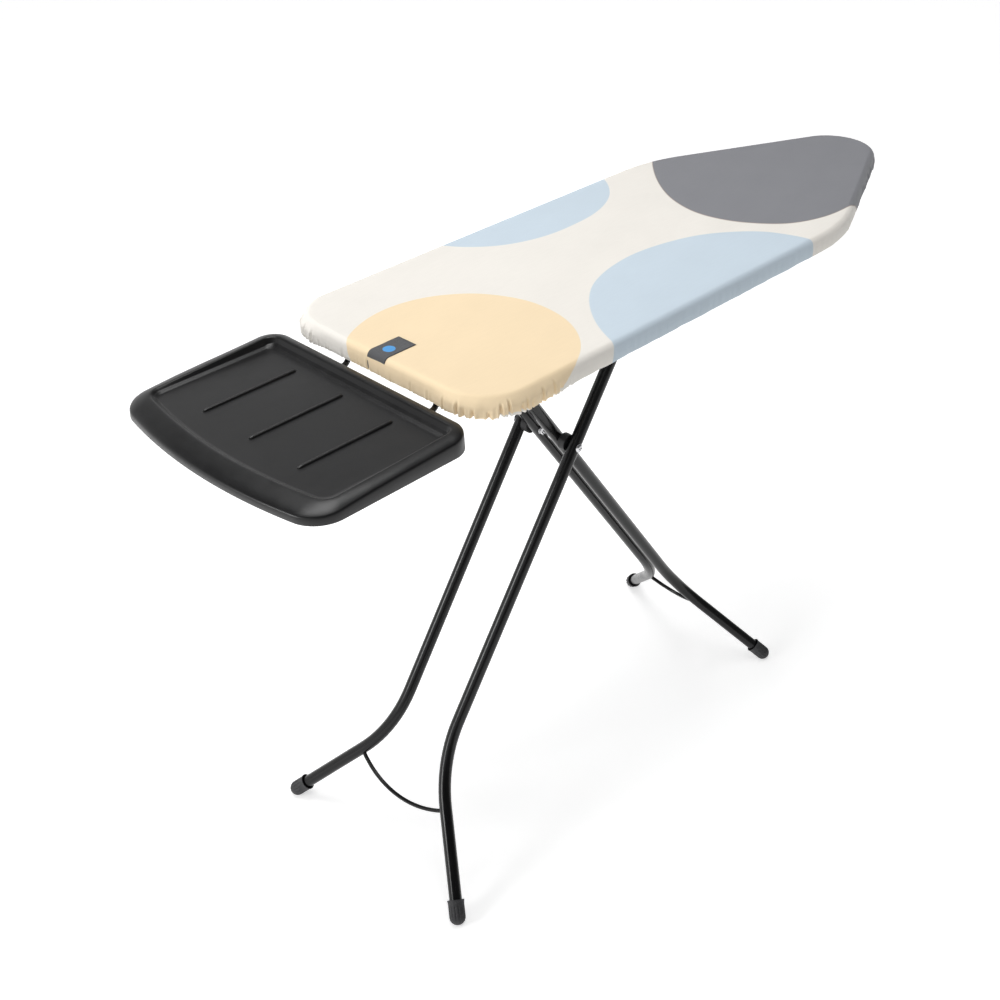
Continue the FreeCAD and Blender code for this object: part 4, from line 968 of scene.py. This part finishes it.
def make_bolt(node, body):
    """Scissor bolt: domed head with a cross recess, and its shank."""
    low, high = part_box(node)
    out = 1 if (low.y + high.y) > 0 else -1
    middle = Vector(((low.x + high.x) / 2, 0, (low.z + high.z) / 2))
    tip, tail = (high.y, low.y) if out > 0 else (low.y, high.y)
    head = (high.z - low.z) / 2
    rise = head / 2
    seat = tip - out * rise
    axis = Vector((0, out, 0))
    u, v = square_to(axis)
    rings = [circle(Vector((middle.x, y, middle.z)), u, v, r, BOLT_SIDES)
             for y, r in ((tail, mm(3.4)), (tail + out * SHANK_CHAMFER, SHANK_RADIUS),
                          (seat, SHANK_RADIUS), (seat, head), (seat + out * mm(0.6), head))]
    for step in range(1, HEAD_RINGS):
        radius = head * (1 - step / HEAD_RINGS)
        ring = []
        for index in range(BOLT_SIDES):
            angle = 2 * math.pi * index / BOLT_SIDES
            a, b = radius * math.cos(angle), radius * math.sin(angle)
            level = rise - (rise - mm(0.8)) * (radius / head) ** 2.4
            slot = max(min(CROSS_HALF_WIDTH - abs(a), CROSS_REACH - abs(b)),
                       min(CROSS_HALF_WIDTH - abs(b), CROSS_REACH - abs(a)))
            level -= CROSS_DEPTH * smooth_step(mm(-0.15), mm(0.15), slot)
            ring.append(Vector((middle.x, seat + out * level, middle.z)) + u * a + v * b)
        rings.append(ring)
    item = loft(node + "_cross_head", rings, cap_first=True, cap_last=True)
    stand_for(item, body, "bright_steel", node)


def make_spring():
    """Coil spring on the torsion rod."""
    low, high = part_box("latch_spring")
    wire = SPRING_WIRE
    radius = (high.z - low.z) / 2 - wire
    middle = (low + high) / 2
    count = SPRING_TURNS * TURN_POINTS
    path = []
    for step in range(count + 1):
        angle = 2 * math.pi * SPRING_TURNS * step / count
        x = low.x + wire + (high.x - low.x - 2 * wire) * step / count
        path.append(Vector((x, middle.y + radius * math.cos(angle), middle.z + radius * math.sin(angle))))
    stand_for(tube("coil_spring", path, wire, 8), "latch", "plain_steel", "latch_spring")


# Plain CAD pieces that get a rounded copy, with the size of the rounding.
SOFTENED = {
    "release_lever": mm(1.5), "transport_lock": mm(1.2), "lock_plate": mm(0.6), "rod_clips": mm(0.4),
    "rest_clamps": mm(1.0), "rod_hanger_near": mm(1.0), "rod_hanger_far": mm(1.0),
    "hinge_plate_near": mm(0.6), "hinge_plate_far": mm(0.6), "scissor_spacer_near": mm(1.0),
    "scissor_spacer_far": mm(1.0), "lock_nut_near": mm(0.4), "lock_nut_far": mm(0.4),
    "latch_bar": mm(0.5), "latch_arm_back": mm(0.5), "latch_arm_nose": mm(0.5),
    "slider_glide_near": mm(0.6), "slider_glide_far": mm(0.6),
}


def soften(node, width):
    """A copy of a plain CAD piece with its sharp edges rounded, as moulding and pressing leave them."""
    source = frame["nodes"][node]
    data = source.data.copy()
    work = bmesh.new()
    work.from_mesh(data)
    bmesh.ops.remove_doubles(work, verts=work.verts, dist=mm(0.01))
    bmesh.ops.dissolve_limit(work, angle_limit=math.radians(0.5), verts=work.verts, edges=work.edges)
    sharp = [edge for edge in work.edges if edge.is_manifold and edge.calc_face_angle(0) > math.radians(35)]
    bmesh.ops.bevel(work, geom=sharp, offset=width, offset_type="OFFSET", segments=3, profile=0.5,
                    affect="EDGES", clamp_overlap=True)
    for face in work.faces:
        face.smooth = True
    work.to_mesh(data)
    work.free()
    data.materials.clear()
    item = bpy.data.objects.new("soft_" + node, data)
    bpy.context.scene.collection.objects.link(item)
    normals = item.modifiers.new("normals", "WEIGHTED_NORMAL")
    normals.keep_sharp = False
    stand_for(item, body_of(node), slot_of(node), node)


def body_of(node):
    """The body that a CAD node rides on."""
    return next(name for name, nodes in frame["record"]["behaviour"]["bodies"].items() if node in nodes)


def slot_of(node):
    """The material slot of a CAD node."""
    return next(entry["material_slot"] for entry in frame["record"]["subparts"] if entry["node"] == node)


# ---------------------------------------------------------------- camera, light and floor
SENSOR_WIDTH = 36.0
FOCAL_LENGTH = 1.408 * SENSOR_WIDTH
LENS_SHIFT = -0.03
CAMERA_PLACE = (-1.12930, -1.42759, 1.93297)
CAMERA_RIGHT = (0.6979646, -0.71600349, -0.01358003)
CAMERA_UP = (0.40909798, 0.38308356, 0.82818224)
FLOOR_HALF = 24
FLOOR_GLOW = 0.55
BACKDROP_TOWARD = (-0.5, 0.85, 0.0)

# Lights: name, place, target, size in metres and power in watts.
LIGHTS = [
    ("key_light", (-0.3, 0.4, 3.4), (0.0, 0.0, 0.8), 1.8, 48),
    ("side_light", (-3.4, 0.9, 1.7), (-0.5, 0.0, 0.95), 1.0, 34),
]


def make_camera():
    """The viewpoint: behind the rest, above and to the near side of the board."""
    data = bpy.data.cameras.new("camera")
    data.sensor_width = SENSOR_WIDTH
    data.lens = FOCAL_LENGTH
    data.shift_x = LENS_SHIFT
    data.clip_end = 50
    item = bpy.data.objects.new("camera", data)
    bpy.context.scene.collection.objects.link(item)
    right, up = Vector(CAMERA_RIGHT), Vector(CAMERA_UP)
    back = right.cross(up)
    turn = Matrix((right, up, back)).transposed().to_4x4()
    place = Vector(CAMERA_PLACE) + Vector((SQUARE_END, 0, 0))
    item.matrix_world = Matrix.Translation(place) @ turn
    bpy.context.scene.camera = item


def area_light(name, place, target, size, power):
    """A soft square light aimed at a point."""
    data = bpy.data.lights.new(name, "AREA")
    data.shape = "SQUARE"
    data.size = size
    data.energy = power
    item = bpy.data.objects.new(name, data)
    bpy.context.scene.collection.objects.link(item)
    item.location = place
    item.rotation_euler = (Vector(target) - Vector(place)).to_track_quat("-Z", "Y").to_euler()


def make_surround():
    """A bright low backdrop on the far side and at the rest's end, a dark band above it and a bright
    ceiling; all of it is white where the camera sees it directly."""
    world = bpy.data.worlds.new("studio")
    bpy.context.scene.world = world
    world.use_nodes = True
    tree = world.node_tree
    place = tree.nodes.new("ShaderNodeTexCoord").outputs["Generated"]

    def ramp(value, low, high, to_low, to_high):
        node = tree.nodes.new("ShaderNodeMapRange")
        node.interpolation_type = "SMOOTHSTEP"
        for number, socket in zip((low, high, to_low, to_high), list(node.inputs)[1:]):
            if isinstance(number, float):
                socket.default_value = number
            else:
                tree.links.new(number, socket)
        tree.links.new(value, node.inputs[0])
        return node.outputs[0]

    toward = tree.nodes.new("ShaderNodeVectorMath")
    toward.operation = "DOT_PRODUCT"
    toward.inputs[1].default_value = BACKDROP_TOWARD
    tree.links.new(place, toward.inputs[0])
    axes = tree.nodes.new("ShaderNodeSeparateXYZ")
    tree.links.new(place, axes.inputs[0])
    backdrop = ramp(toward.outputs["Value"], -0.3, 0.25, 0.16, 1.0)
    lower = ramp(axes.outputs["Z"], 0.4, 0.6, backdrop, 0.1)
    overhead = ramp(axes.outputs["Z"], 0.86, 0.96, lower, 1.5)
    seen = tree.nodes.new("ShaderNodeLightPath").outputs["Is Camera Ray"]
    bright = ramp(seen, 0.0, 1.0, overhead, 1.0)
    background = tree.nodes["Background"]
    background.inputs["Color"].default_value = (1.0, 1.0, 1.0, 1.0)
    tree.links.new(bright, background.inputs["Strength"])


def make_studio():
    """White floor and large soft lights."""
    make_surround()
    for light in LIGHTS:
        area_light(*light)
    half = FLOOR_HALF
    corners = [(-half, -half, 0), (half, -half, 0), (half, half, 0), (-half, half, 0)]
    floor = new_mesh("floor", corners, [(0, 1, 2, 3)], smooth=False)
    nodes = Nodes("studio_floor")
    grain = nodes.ramp(nodes.noise(3, 2), 0.3, 0.7, 0.66, 0.74)
    white = (1.0, 1.0, 1.0, 1.0)
    painted = nodes.finish((0.9, 0.9, 0.9, 1.0), grain, Specular_IOR_Level=0.1,
                           Emission_Color=white, Emission_Strength=FLOOR_GLOW)
    floor.data.materials.append(painted)
    bpy.context.scene.view_settings.view_transform = "Standard"


# ---------------------------------------------------------------- finishes
def make_finishes():
    """One node material for each material slot of the record."""
    return {
        "black_powder_coat": powder_coat("black_powder_coat", rgb(9, 9, 10), 0.2),
        "light_painted_steel": powder_coat("light_painted_steel", rgb(178, 180, 182), 0.45),
        "bright_steel": metal_material("bright_steel", rgb(214, 214, 216), 0.18, drawn=False),
        "plain_steel": metal_material("plain_steel", rgb(168, 170, 174), 0.3),
        "rubber_feet": rubber_material(),
        "black_moulding": moulded_plastic("black_moulding", rgb(14, 14, 15), 0.33),
        "black_plastic": moulded_plastic("black_plastic", rgb(22, 22, 23), 0.5),
        "foam": fibre_material("foam", rgb(232, 230, 222), rgb(214, 212, 203), 900, 0.3),
        "felt": fibre_material("felt", rgb(150, 150, 148), rgb(112, 112, 112), 350, 0.5),
        "drawcord": fibre_material("drawcord", rgb(236, 232, 224), rgb(206, 202, 194), 600, 0.3),
        "cover_cotton": cotton_material(),
        "woven_ribbon": ribbon_material(),
    }


make_camera()
make_studio()
finishes = make_finishes()
for entry in frame["record"]["subparts"]:
    carried = frame["nodes"][entry["node"]]
    carried.data.materials.clear()
    carried.data.materials.append(finishes[entry["material_slot"]])

make_pad("foam_pad", "foam_layer", "foam", mm(0.08))
make_pad("felt_pad", "felt_layer", "felt", mm(0.05))
make_cover()
make_drawcord()
make_ribbon()
make_rest()
for pair in ("inner", "outer"):
    for side in ("near", "far"):
        make_foot(f"{pair}_foot_{side}", f"{pair}_legs")
for side in ("near", "far"):
    make_bolt(f"scissor_bolt_{side}", "outer_legs")
make_spring()
for node, width in SOFTENED.items():
    soften(node, width)
